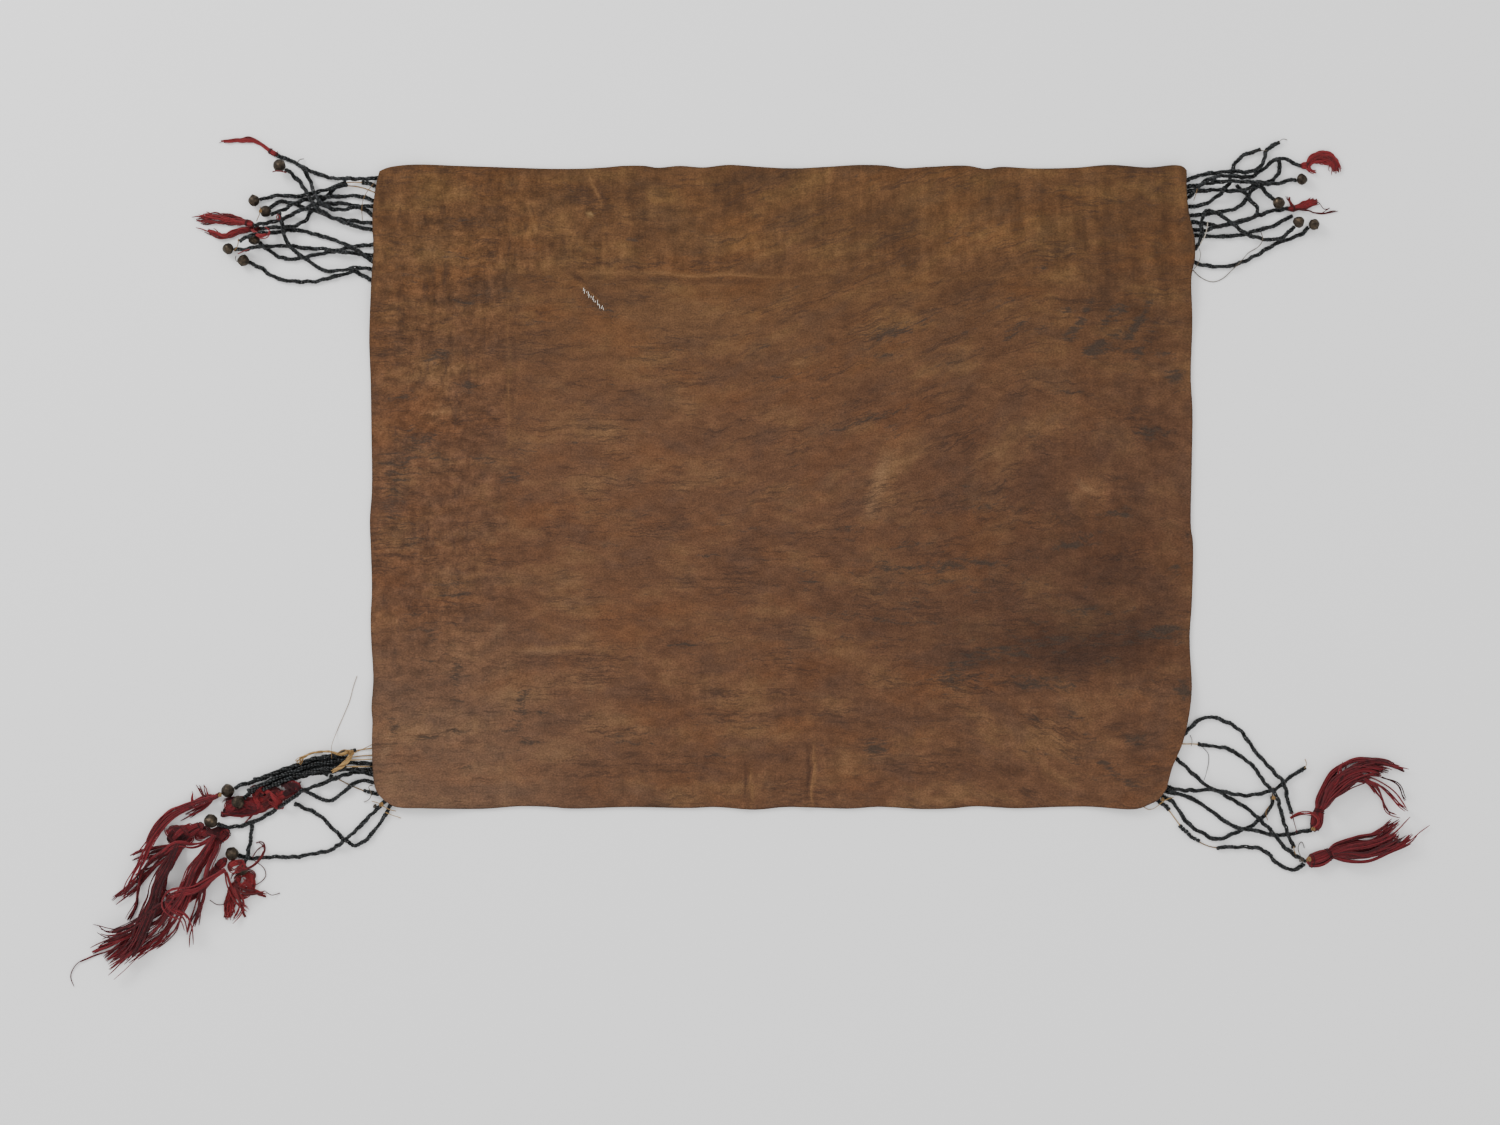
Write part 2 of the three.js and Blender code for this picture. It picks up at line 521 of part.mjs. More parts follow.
// Places one step apart along a smooth line through the route's points
function stationsAlong(route) {
  const points = route.map((p) => new THREE.Vector3(place(p).x, place(p).y, 0));
  if (points.length === 2) points.splice(1, 0, points[0].clone().lerp(points[1], 0.5));
  const curve = new THREE.CatmullRomCurve3(points, false, "centripetal");
  const count = Math.max(2, Math.round(curve.getLength() / STEP));
  return curve.getSpacedPoints(count).map((p, i) => ({ x: p.x, y: p.y, share: i / count }));
}

// What already lies on the ground, as upright discs: place, radius, top, and the piece's name
const laid = [];

// The discs that a row of stations covers, each with the two stations it lies between
function discsOf(stations) {
  const discs = [];
  for (let i = 0; i + 1 < stations.length; i++) {
    const [a, b] = [stations[i], stations[i + 1]];
    const across = new THREE.Vector2(-(b.y - a.y), b.x - a.x).normalize();
    const steps = Math.max(1, Math.ceil(Math.hypot(b.x - a.x, b.y - a.y) / SAMPLE));
    for (let k = 0; k <= steps; k++) {
      const share = k / steps;
      const mix = (key) => THREE.MathUtils.lerp(a[key], b[key], share);
      const count = Math.max(1, Math.round(mix("width") / DISC));
      const radius = mix("width") / count / 2;
      for (let n = 0; n < count; n++) {
        const shift = (2 * n + 1 - count) * radius;
        const [x, y] = [mix("x") + across.x * shift, mix("y") + across.y * shift];
        discs.push({ x, y, radius, segment: i, share });
      }
    }
  }
  return discs;
}

// The height at which a disc comes to lie on what is laid, without the pieces it may lie beside
function restOf(disc, beside) {
  let height = 0;
  for (const other of laid) {
    if (beside.includes(other.name)) continue;
    const reach = disc.radius + other.radius + SIDE_CLEARANCE;
    if (Math.abs(disc.x - other.x) > reach) continue;
    if (Math.hypot(disc.x - other.x, disc.y - other.y) > reach) continue;
    height = Math.max(height, other.top + GAP);
  }
  return height;
}

// Leaves out the stations that add nothing to the piece's shape
function simplified(stations) {
  const kept = new Set([0, stations.length - 1]);
  const divide = (from, to) => {
    let [worst, at] = [1, null];
    for (let i = from + 1; i < to; i++) {
      const share = (i - from) / (to - from);
      const off = (key) =>
        stations[i][key] - THREE.MathUtils.lerp(stations[from][key], stations[to][key], share);
      const error = Math.max(
        Math.hypot(off("x"), off("y")) / TOLERANCE.plan,
        Math.abs(off("base")) / TOLERANCE.base,
        Math.abs(off("width")) / TOLERANCE.width,
      );
      if (error > worst) [worst, at] = [error, i];
    }
    if (at === null) return;
    kept.add(at);
    divide(from, at);
    divide(at, to);
  };
  divide(0, stations.length - 1);
  return stations.filter((station, i) => kept.has(i));
}

// Gives each station its base height, so that the piece lies on all that is already laid. What
// hangs on the piece's end is given as one more disc.
function drape(stations, name, beside = [], hung = []) {
  const needed = stations.map(() => 0);
  for (const disc of [...discsOf(stations), ...hung]) {
    const height = restOf(disc, [name, ...beside]);
    for (const i of [disc.segment, disc.segment + 1]) needed[i] = Math.max(needed[i], height);
  }
  for (const station of stations) {
    const slopes = stations.map((other, k) => {
      return needed[k] - STEEPEST * Math.hypot(station.x - other.x, station.y - other.y);
    });
    station.base = Math.max(0, ...slopes);
  }
}

function lay(stations, name) {
  for (const disc of discsOf(stations)) {
    const [a, b] = [stations[disc.segment], stations[disc.segment + 1]];
    const top = THREE.MathUtils.lerp(a.base + a.height, b.base + b.height, disc.share);
    laid.push({ ...disc, top, name });
  }
}

// The end of each string that is already laid, and the bell on it, by the string's name
const ends = {};
const bells = {};

// The disc that a string's bell covers
function bellDisc(piece) {
  const middle = place(piece.route.at(-1));
  return { x: middle.x, y: middle.y, radius: piece.bell * BELL_FLANGE };
}

function stringOfBeads(piece, rootLine) {
  let stations = stationsAlong(piece.route);
  const edge = stations[0];
  if (piece.bell) {
    const middle = stations.at(-1);
    const seat = piece.bell + BELL_LUG + SEAT_GAP;
    const kept = stations.filter((s) => Math.hypot(s.x - middle.x, s.y - middle.y) > seat + 2);
    const along = new THREE.Vector2(kept.at(-1).x - middle.x, kept.at(-1).y - middle.y);
    along.setLength(seat);
    stations = [...kept, { x: middle.x + along.x, y: middle.y + along.y, share: 1 }];
  }
  if (!piece.beside) {
    const root = nearestOn(rootLine, new THREE.Vector2(edge.x, edge.y));
    stations.unshift({ x: root.x, y: root.y, share: 0 });
  }
  const isBare = (share) => (piece.bare ?? []).some(([from, to]) => share >= from && share <= to);
  for (const station of stations) {
    station.width = isBare(station.share) ? THREAD : STRING_WIDTH;
    station.height = isBare(station.share) ? THREAD : STRING_HEIGHT;
  }
  const hung = piece.bell ? [{ ...bellDisc(piece), segment: stations.length - 2 }] : [];
  drape(stations, piece.string, piece.beside ? [piece.beside] : [], hung);
  if (!piece.beside) {
    stations.forEach((station, i) => {
      const run = Math.hypot(station.x - edge.x, station.y - edge.y) - ROOT_LEVEL;
      const limit = i === 0 ? 0 : Math.max(0, run) * 1.5;
      station.base = Math.min(station.base, limit);
    });
  }
  stations = simplified(stations);
  lay(stations, piece.string);
  ends[piece.string] = stations.at(-1);
  return sweep(stations, 4);
}

// A round bell with a lug towards its string and a slot on its far side
function bell(piece) {
  const radius = piece.bell;
  const middle = bellDisc(piece);
  const rim = middle.radius;
  const tip = ends[piece.string];
  const lowest = tip.base + STRING_HEIGHT - 2 * rim + 2;
  const base = Math.max(restOf(middle, [piece.string]), lowest);
  bells[piece.string] = { ...middle, base };
  laid.push({ ...middle, top: base + 2 * rim, name: piece.string + "_bell" });

  const towards = new THREE.Vector2(tip.x - middle.x, tip.y - middle.y).normalize();
  const rings = 6;
  const profile = [];
  for (let i = 0; i <= rings; i++) {
    const angle = (Math.PI * i) / rings;
    const ring = i === rings / 2 ? rim : radius;
    const out = i === 0 || i === rings ? 0 : Math.sin(angle) * ring;
    profile.push(new THREE.Vector2(out, -Math.cos(angle) * radius));
  }
  const ball = new THREE.LatheGeometry(profile, BELL_SIDES);
  ball.rotateZ(-Math.PI / 2);
  const slot = new THREE.BoxGeometry(BELL_SLOT.depth * 2, radius * 3, BELL_SLOT.width);
  slot.translate(-radius, 0, 0);
  for (const shape of [ball, slot]) {
    shape.rotateZ(towards.angle());
    shape.translate(middle.x, middle.y, base + rim);
  }
  const lugBase = Math.max(base + 0.4, tip.base + (STRING_HEIGHT - BELL_LUG_WIDTH) / 2);
  const lug = [radius * 0.2, radius + BELL_LUG].map((distance) => ({
    x: middle.x + towards.x * distance,
    y: middle.y + towards.y * distance,
    base: lugBase,
    width: BELL_LUG_WIDTH,
    height: BELL_LUG_WIDTH,
  }));
  return solidOf(ball).subtract(solidOf(slot)).add(sweep(lug, 4));
}

// A value that runs evenly through a list of values, at a share from 0 to 1
function blended(values, share) {
  const at = share * (values.length - 1);
  const low = Math.min(Math.floor(at), values.length - 2);
  return values[low] + (values[low + 1] - values[low]) * (at - low);
}

// One lock of a bundle, in its own column and row
function lock(stations, bundle, column, row) {
  const { columns, rows } = bundle;
  const shortfall = ((column * 5 + row * 3) % 4) * 0.035;
  const kept = stations.filter((station) => station.share <= 1 - shortfall);
  const own = kept.map((station, i) => {
    const across = acrossAt(stations, i);
    const shift = ((column + 0.5) / columns - 0.5) * station.width;
    const taper = 1 - 0.55 * THREE.MathUtils.smoothstep(station.share, 0.6, 1);
    return {
      x: station.x + across.x * shift,
      y: station.y + across.y * shift,
      base: station.base + (row * station.height) / rows,
      width: (station.width / columns) * 0.86 * taper,
      height: (station.height / rows) * 0.86 * taper,
    };
  });
  return sweep(own, 3);
}

// Brings the start of a tassel's head to the end or the side of its string, or to its bell
function seat(start, next, piece) {
  start.width = STRING_WIDTH / 2;
  start.height = STRING_HEIGHT / 2;
  const bell = bells[piece.on];
  if (bell && !piece.side) {
    const out = new THREE.Vector2(start.x - bell.x, start.y - bell.y);
    out.setLength(bell.radius + SEAT_GAP / 4);
    start.x = bell.x + out.x;
    start.y = bell.y + out.y;
    start.base = bell.base + bell.radius - start.height / 2;
    return;
  }
  const out = new THREE.Vector2(next.x - start.x, next.y - start.y).setLength(2 * SEAT_GAP);
  start.x += out.x;
  start.y += out.y;
  start.base = Math.max(start.base, ends[piece.on].base + 1);
}

// A tassel: a bound head, and the locks of each bundle, which all start inside the head
function tassel(piece) {
  const name = piece.tassel;
  const beside = [piece.on, piece.on + "_bell"];
  const head = stationsAlong(piece.head.route);
  for (const station of head) {
    const swell = Math.sin(Math.PI * (0.2 + 0.55 * station.share));
    station.width = piece.head.width * swell;
    station.height = piece.head.height * swell;
  }
  drape(head, name, beside);
  seat(head[0], head[1], piece);
  lay(head, name + "_head");
  const solids = [sweep(head, 6)];
  const inside = head.at(-2);
  const root = {
    x: inside.x,
    y: inside.y,
    base: inside.base + inside.height * 0.25,
    width: inside.width * 0.5,
    height: inside.height * 0.5,
    share: 0,
  };
  piece.bundles.forEach((bundle, i) => {
    const stations = stationsAlong(bundle.route);
    for (const station of stations) {
      station.width = blended(bundle.widths, station.share);
      station.height = bundle.height;
    }
    drape(stations, name + i, [...beside, name + "_head"]);
    const shape = simplified(stations);
    lay(shape, name + i);
    for (let column = 0; column < bundle.columns; column++) {
      for (let row = 0; row < bundle.rows; row++) {
        solids.push(lock([root, ...shape], bundle, column, row));
      }
    }
  });
  return joined(solids);
}

// A tie of twine, which lies across the strings that it holds
function tie(piece) {
  const stations = stationsAlong(piece.route);
  for (const station of stations) {
    station.width = blended(piece.widths, station.share);
    station.height = TWINE;
  }
  drape(stations, piece.tie);
  const shape = simplified(stations);
  lay(shape, piece.tie);
  return sweep(shape, 4);
}

function strip(line) {
  const size = { base: 0, width: STRIP_WIDTH, height: STRING_HEIGHT };
  return sweep(line.map(({ x, y }) => ({ x, y, ...size })), 4);
}

const blanket = new THREE.Group();
blanket.add(named("leather_sheet", sheet(), LEATHER_BROWN));
for (const [key, corner] of Object.entries(CORNERS)) {
  const rootLine = corner.strip.map(place);
  const strings = [strip(rootLine)];
  let bells = 0;
  for (const piece of corner.pieces) {
    if (piece.tassel) {
      blanket.add(named(piece.tassel, tassel(piece), WOOL_RED));
      continue;
    }
    if (piece.tie) {
      blanket.add(named(piece.tie, tie(piece), TWINE_TAN));
      continue;
    }
    strings.push(stringOfBeads(piece, rootLine));
    if (piece.bell) {
      bells += 1;
      blanket.add(named(`bell_${key}_${bells}`, bell(piece), BELL_BRASS));
    }
  }
  blanket.add(named(`bead_strings_${key}`, joined(strings), BEAD_BLACK));
}

export default blanket;
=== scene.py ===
"""A leather saddle blanket that lies flat on its beaded face, dressed on its own solids.

The plain brown back of the hide shows. At its four corners strings of black beads, small round
bells and red wool tassels lie spread on the ground. Plan places are on a grid of 1 mm, x to the
right and y downwards, and every length in the tables is in millimetres.
"""
import logging
import math
from dataclasses import dataclass, field
from enum import Enum

import bmesh
import bpy
import numpy as np
from mathutils import Matrix, Vector, noise


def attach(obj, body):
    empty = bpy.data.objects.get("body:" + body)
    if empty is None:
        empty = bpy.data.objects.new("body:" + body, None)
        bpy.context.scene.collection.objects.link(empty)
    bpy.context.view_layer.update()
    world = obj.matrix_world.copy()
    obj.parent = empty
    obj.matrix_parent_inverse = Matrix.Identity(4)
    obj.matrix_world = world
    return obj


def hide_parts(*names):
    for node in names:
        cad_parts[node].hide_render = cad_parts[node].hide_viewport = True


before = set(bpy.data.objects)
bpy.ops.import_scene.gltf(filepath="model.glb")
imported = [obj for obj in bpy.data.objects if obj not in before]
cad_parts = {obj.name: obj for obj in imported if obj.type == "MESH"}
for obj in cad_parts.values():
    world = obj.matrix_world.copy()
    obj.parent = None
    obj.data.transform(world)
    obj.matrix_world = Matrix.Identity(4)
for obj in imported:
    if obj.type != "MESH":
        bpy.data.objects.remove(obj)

LOG = logging.getLogger("blanket")
Point = tuple[float, float]
Socket, Tree = bpy.types.NodeSocket, bpy.types.NodeTree
Object, Material = bpy.types.Object, bpy.types.Material
MM = 0.001

SHEET_MIDDLE = (782.0, 487.0)

LEATHER = 2.2
BORDER_EXTRA = 1.3
BORDER_STEP = 7.0
BORDER_INNER = {"left": 510.0, "right": 1061.0, "top": 276.0, "bottom": 652.0}
STRIP_CLEARANCE = 0.7
LIFT_FLAT = 20.0
LIFT_END = 78.0

STRING_WIDTH = 4.0
STRING_HEIGHT = 4.2
THREAD = 1.6
TIE = 2.4
BELL_LUG = 1.6
BELL_FLANGE = 1.06
LAST_BEAD = 0.9

GAP = 0.7
SIDE_CLEARANCE = 0.9
STEEPEST = 0.9
ROOT_LEVEL = 3.0
STEP = 4.0
SAMPLE = 1.3
DISC = 5.0
SEAT_GAP = 0.5
TOLERANCE = {"plan": 0.55, "base": 0.35, "width": 1.4}

ROOT_SLOPE = 1.5
SEAT_CLEAR = 2.0
LUG_REACH = 2.0

STRAND_END = (0.9, 0.75, 0.5)
LOCK_HEIGHT = 2.4
LOOSE_GAP = 0.1
PLAIN_CURL = 0.8
TIGHT_CURL = 1.8


@dataclass(frozen=True)
class Fold:
    """A soft ridge in the hide, from one plan place to another."""

    start: Point
    end: Point
    width: float
    height: float


@dataclass(frozen=True)
class BeadString:
    """A string of beads, from the sheet's edge to its end or to the middle of its bell."""

    name: str
    route: list[Point]
    bell: float = 0.0
    bare: tuple | list = ()
    beside: str = ""


@dataclass(frozen=True)
class Head:
    """The bound head of a tassel."""

    route: list[Point]
    width: float
    height: float


@dataclass(frozen=True)
class Bundle:
    """One bundle of a tassel's wool, whose locks stand in columns and rows."""

    route: list[Point]
    widths: list[float]
    columns: int
    rows: int
    height: float


@dataclass(frozen=True)
class Tassel:
    """A wool tassel that hangs on a string's end, its side or its bell."""

    name: str
    on: str
    head: Head
    bundles: list[Bundle]
    side: bool = False


@dataclass(frozen=True)
class Tie:
    """A tie of twine across a bundle of strings, whose widths are spaced evenly along it."""

    name: str
    route: list[Point]
    widths: list[float]


@dataclass(frozen=True)
class Corner:
    """What is sewn to one corner, in the order in which it lies, the lowest first."""

    key: str
    strip: list[Point]
    pieces: list[BeadString | Tassel | Tie]

    def line(self) -> list[np.ndarray]:
        """Gives the strip's places in the part's own frame."""
        return [place(p) for p in self.strip]


class Yarn(Enum):
    """What a loose thread is spun from."""

    TWINE = "twine"
    PALE = "pale"
    DARK = "dark"
    RED = "red"
    WINE = "wine"


@dataclass(frozen=True)
class LooseThread:
    """A thread end, loop or tie among the strings."""

    yarn: Yarn
    thick: float
    route: list[Point]


@dataclass(frozen=True)
class Knot:
    """A small tangle of thread."""

    yarn: Yarn
    place: Point
    size: float


@dataclass(frozen=True)
class Tangle:
    """A place where the wool lies matted, in loops that turn over each other."""

    yarn: Yarn
    place: Point
    size: Point
    strands: int


@dataclass(frozen=True)
class Lock:
    """One more lock of wool that lies on a tassel, or strays from it."""

    yarn: Yarn
    width: float
    strands: int
    route: list[Point]


@dataclass(frozen=True)
class Blotch:
    """A soft patch on the hide. As a tone or a ridge, it is lighter above 0 and darker below 0."""

    place: Point
    size: Point
    angle: float
    tone: float


def blotches(rows: list[tuple[float, ...]]) -> list[Blotch]:
    """Gives a blotch for each row of x, y, half length, half width, angle in degrees and tone."""
    return [Blotch((x, y), (long, wide), angle, tone) for x, y, long, wide, angle, tone in rows]


OUTLINE: dict[str, list[Point]] = {
    "top": [(380, 172), (385, 169.4), (391, 167.6), (402, 166), (420, 165), (460, 166), (500, 167.3),
        (560, 169), (600, 168), (622, 166), (645, 166), (657, 167.8), (680, 166), (703, 167.5),
        (728, 165), (760, 167), (792, 168.5), (825, 167), (860, 165), (885, 165.7), (903, 168.3),
        (928, 167), (967, 165.8), (986, 169), (1000, 167), (1032, 168.5), (1075, 167.8), (1110, 165),
        (1148, 168), (1173, 165.7)],
    "right": [(1182, 167), (1186, 171), (1186, 192), (1188, 212), (1194, 240), (1194, 259),
        (1190.7, 278), (1192, 325), (1190.6, 378), (1192.3, 410), (1191.5, 470), (1190.8, 528),
        (1192.7, 541), (1191.8, 600), (1189.5, 638), (1191.3, 685)],
    "bottom": [(1190, 703), (1187, 722), (1181, 745), (1172, 766), (1166, 788), (1158, 799),
        (1149, 804), (1136, 808.6), (1090, 806.6), (1060, 806.8), (1015, 808.2), (975, 806.3),
        (950, 808.5), (920, 809), (878, 806.8), (850, 808.6), (820, 807.8), (786, 807), (755, 809.6),
        (715, 807), (690, 808), (630, 807), (570, 808.5), (550, 806.9), (521, 806.2), (482, 808.8),
        (425, 808)],
    "left": [(396, 806.5), (386, 801), (380, 795), (376, 788), (373.6, 772), (372.5, 740), (373, 720),
        (372, 708), (373.5, 680), (371.3, 640), (370.8, 618), (372, 590), (371, 550), (370, 520),
        (372, 490), (371.5, 430), (370.7, 380), (369.5, 343), (370.6, 310), (372, 280), (374, 250),
        (373, 220), (374.5, 200), (377.5, 182)],
}

FOLDS = [
    Fold((598, 164), (606, 208), width=9, height=1.6),
    Fold((791, 164), (791, 204), width=10, height=1.5),
    Fold((806, 812), (796, 762), width=9, height=1.8),
    Fold((745, 812), (750, 776), width=10, height=1.2),
    Fold((575, 278), (606, 314), width=10, height=1.2),
]

CORNERS = [
    Corner("tl", strip=[(386, 175), (382, 205), (380, 240), (379, 286)], pieces=[
        BeadString("t13", bell=6, route=[(372, 281), (363, 276), (355, 271), (346, 274), (330, 278),
            (310, 282), (290, 281), (272, 276), (258, 266), (244, 261)]),
        BeadString("t9", bell=6, route=[(373, 245), (358, 246), (342, 250), (325, 253), (308, 257),
            (294, 259), (281, 258), (271, 252), (264, 246), (255, 240)]),
        BeadString("t10", bell=6, route=[(373, 255), (355, 254), (335, 251), (315, 249), (296, 247),
            (278, 246), (262, 248), (245, 250), (229, 249)]),
        BeadString("t11", route=[(373, 262), (364, 255), (352, 248), (338, 241), (320, 236), (303, 231),
            (287, 231), (270, 234), (256, 236), (242, 241)]),
        BeadString("t3", bare=[(0, 0.22)], route=[(376, 193), (363, 188), (349, 186), (338, 187),
            (329, 194), (317, 206), (311, 213), (304, 222), (295, 227), (278, 228), (261, 229)]),
        Tassel("wool_tl_3", on="t3", head=Head([(261, 229), (251, 229)], 7, 5), bundles=[
            Bundle([(254, 229), (238, 232), (225, 237), (213, 233), (197, 226)], [6, 7, 3], 3, 1, 4),
            Bundle([(255, 231), (262, 238), (270, 237), (272, 230)], [3, 4, 2], 1, 1, 3),
        ]),
        BeadString("t7", bell=6, route=[(373, 223), (358, 222), (345, 220), (330, 217), (318, 212),
            (305, 208), (294, 204), (281, 202), (272, 205), (266.4, 212)]),
        BeadString("t6", route=[(373, 217), (366, 210), (356, 206), (345, 204), (332, 204), (318, 205.5),
            (307, 209.5), (294, 214), (284, 219), (270, 223), (256, 226)]),
        Tassel("wool_tl_2", on="t6", head=Head([(256, 226), (247, 223)], 8, 5.5), bundles=[
            Bundle([(249, 223), (236, 221), (222, 219), (206, 216), (192, 215)], [7, 10, 9], 4, 1, 4.5),
        ]),
        BeadString("t4", route=[(373, 200), (360, 196.5), (345, 196.5), (330, 197.5), (312, 199),
            (298, 203), (286, 210), (274, 215)]),
        BeadString("t2", bell=6, bare=[(0.1, 0.24)], route=[(376, 187), (366, 183), (349, 183), (334, 188),
            (316, 193), (298, 196), (278, 196), (255, 201)]),
        BeadString("t1", route=[(378, 178), (356, 180), (326, 177), (303, 167), (289, 160), (279, 156)]),
        Tassel("wool_tl_1", on="t1", head=Head([(279, 156), (270, 151)], 7, 5), bundles=[
            Bundle([(271, 151), (262, 145), (253, 140), (240, 140), (219, 142)], [5, 4, 2.4], 2, 1, 3),
        ]),
        BeadString("t8", bell=6.6, route=[(373, 230), (360, 228), (346, 223), (332, 218), (321, 211),
            (313, 202), (307, 192), (301, 183), (295, 177), (289, 172), (281, 167)]),
        BeadString("t5", route=[(373, 206), (362, 207), (345, 210), (330, 209), (322, 204), (316, 194),
            (311, 183), (307, 175), (303, 167)]),
        BeadString("t12", route=[(373, 270), (357, 268), (343, 271), (327, 271), (314, 265), (302, 256),
            (292, 248), (286, 239), (285, 229), (282, 216)]),
    ]),
    Corner("tr", strip=[(1179, 174), (1180, 205), (1186, 236), (1187, 268)], pieces=[
        BeadString("r10", bell=6, route=[(1193, 262), (1207, 266), (1222, 267), (1237, 264), (1250, 259),
            (1263, 251), (1274, 245), (1287, 240), (1301, 234), (1313, 225)]),
        BeadString("r7", route=[(1191, 222), (1206, 224), (1220, 226), (1234, 223), (1247, 219),
            (1260, 215), (1273, 211), (1286, 209)]),
        Tassel("wool_tr_2", on="r7", head=Head([(1286, 209), (1294, 209)], 7, 5), bundles=[
            Bundle([(1293, 209), (1301, 207), (1309, 204), (1317, 200)], [6, 8, 4], 3, 1, 4),
            Bundle([(1291, 208), (1288, 203), (1289, 197)], [3, 3, 2], 1, 1, 3),
            Bundle([(1294, 211), (1306, 211), (1322, 213), (1338, 211)], [1.4, 1.2, 1.2], 1, 1, 1.4),
        ]),
        BeadString("r9", route=[(1193, 236), (1205, 236), (1222, 237), (1240, 235), (1256, 231),
            (1270, 227), (1282, 221), (1291, 217)]),
        BeadString("r6", route=[(1189, 216), (1202, 215), (1218, 212), (1233, 210), (1243, 203),
            (1250, 193), (1258, 186), (1270, 181), (1279, 173), (1279, 161)]),
        BeadString("r11", route=[(1192, 229), (1206, 231), (1216, 227), (1230, 225), (1243, 222),
            (1253, 217), (1257, 211), (1252, 203), (1245, 195), (1237, 187)]),
        BeadString("r8", bell=6, route=[(1194.5, 250), (1200, 240), (1200, 226), (1204, 213), (1213, 212),
            (1225, 220), (1236, 229), (1250, 236), (1266, 240), (1281, 238), (1290, 231), (1297, 223)]),
        BeadString("r3", bell=6.4, route=[(1188, 192), (1202, 191), (1218, 190), (1232, 192), (1246, 190),
            (1257, 186), (1264, 192), (1270, 198), (1277, 204)]),
        BeadString("r4", route=[(1188, 207), (1202, 205), (1213, 200), (1222, 191), (1229, 182),
            (1232, 172), (1235, 163), (1242, 156), (1251, 153), (1259, 150)]),
        BeadString("r2", bell=5.8, route=[(1187, 186.5), (1198, 185.5), (1210, 183.5), (1226, 183),
            (1242, 183), (1256, 183.5), (1268, 185), (1281, 183), (1291, 180), (1301, 180)]),
        BeadString("r5", route=[(1188, 198), (1195, 190), (1204, 182), (1218, 178), (1236, 177.5),
            (1251, 177), (1263, 169), (1275, 160), (1287, 160.5), (1299, 166)]),
        Tassel("wool_tr_1", on="r5", head=Head([(1299, 166), (1307, 166)], 9, 6), bundles=[
            Bundle([(1305, 164.5), (1311, 160), (1319, 157), (1328, 158), (1334, 164), (1338, 173)],
                [8, 12, 3], 4, 1, 4.5),
            Bundle([(1303, 167), (1309, 171), (1316, 172)], [3, 4, 3], 1, 1, 3.4),
        ]),
        BeadString("r1", route=[(1187, 180), (1200, 175.5), (1216, 172.7), (1234, 172.2), (1250, 172),
            (1259, 168), (1264, 160), (1265, 152), (1270, 147), (1278, 143)]),
    ]),
    Corner("br", strip=[(1180, 726), (1172, 748), (1163, 768), (1156, 786), (1148, 795)], pieces=[
        BeadString("q7", bare=[(0.07, 0.19), (0.34, 0.46)], route=[(1158, 800), (1167, 808), (1176, 820),
            (1184, 830), (1196, 840), (1212, 847), (1235, 847), (1252, 847), (1266, 852), (1276, 862),
            (1288, 869), (1297, 869), (1302, 864)]),
        BeadString("q6", bare=[(0.93, 1)], route=[(1162, 796), (1172, 801), (1179, 812), (1189, 824),
            (1202, 833), (1215, 839), (1232, 834), (1248, 827), (1260, 819), (1270, 808), (1272, 797),
            (1273, 787)]),
        BeadString("q5", route=[(1165, 791.5), (1180, 794), (1194, 800), (1209, 809), (1224, 821),
            (1241, 828), (1258, 831), (1274, 835), (1290, 834), (1301, 831), (1310, 830)]),
        Tassel("wool_br_1", on="q5",
            head=Head([(1310, 830), (1315, 826), (1317, 817), (1319, 809)], 13, 9), bundles=[
            Bundle([(1318, 812), (1323, 800), (1332, 787), (1343, 777), (1356, 769), (1372, 767),
                (1388, 770), (1404, 777)], [12, 25, 19, 17], 5, 2, 9),
            Bundle([(1321, 808), (1334, 793), (1348, 778), (1362, 779), (1374, 789), (1382, 801),
                (1390, 815)], [4, 5, 4], 2, 1, 3),
            Bundle([(1320, 808), (1333, 785), (1352, 773), (1368, 776), (1384, 784), (1396, 794),
                (1406, 809)], [2, 2, 1.8], 1, 1, 2),
        ]),
        BeadString("q4", route=[(1167, 786.5), (1182, 790), (1198, 790), (1214, 790), (1230, 798),
            (1246, 808), (1260, 820), (1273, 834), (1284, 847), (1294, 855), (1304, 860)]),
        Tassel("wool_br_2", on="q4",
            head=Head([(1304, 860), (1312, 860), (1322, 857), (1330, 853)], 16, 11), bundles=[
            Bundle([(1326, 853), (1342, 849), (1358, 847), (1374, 845), (1388, 839), (1400, 829),
                (1411, 819)], [12, 24, 25, 22], 6, 2, 9),
            Bundle([(1328, 855), (1345, 860), (1366, 860), (1388, 851), (1410, 840), (1430, 826)],
                [4, 5, 4], 2, 1, 3.4),
        ]),
        BeadString("q3", route=[(1175, 758), (1186, 767), (1196, 777), (1207, 786), (1225, 792),
            (1244, 795), (1262, 793), (1277, 787), (1290, 777), (1304, 768)]),
        BeadString("q2", bare=[(0, 0.1)], route=[(1181, 744), (1197, 744), (1212, 746), (1228, 749),
            (1242, 757), (1254, 768), (1265, 784), (1273, 793), (1279, 805), (1283, 822), (1288, 836),
            (1293, 846)]),
        BeadString("q1", route=[(1184, 735), (1190, 728), (1198, 720), (1209, 717), (1222, 720),
            (1236, 727), (1247, 740), (1259, 756), (1271, 769), (1281, 780), (1286, 795), (1291, 812)]),
    ]),
    Corner("bl", strip=[(381, 740), (381, 766), (386, 783), (393, 791), (401, 797)], pieces=[
        BeadString("s5b", route=[(390, 807), (380, 823), (367, 839), (355, 845), (345, 840), (334, 829),
            (322, 817), (308, 809), (296, 804)]),
        BeadString("s5a", bell=7, route=[(384, 802), (372, 814), (358, 828), (344, 841), (330, 850),
            (312, 854), (290, 857), (268, 857), (250, 858), (233, 853)]),
        BeadString("s4", bare=[(0.26, 0.84)], route=[(378, 794), (365, 791), (352, 786), (340, 780),
            (327, 774)]),
        BeadString("s3", route=[(375, 782), (360, 781), (347, 789), (330, 801), (316, 796), (305, 790)]),
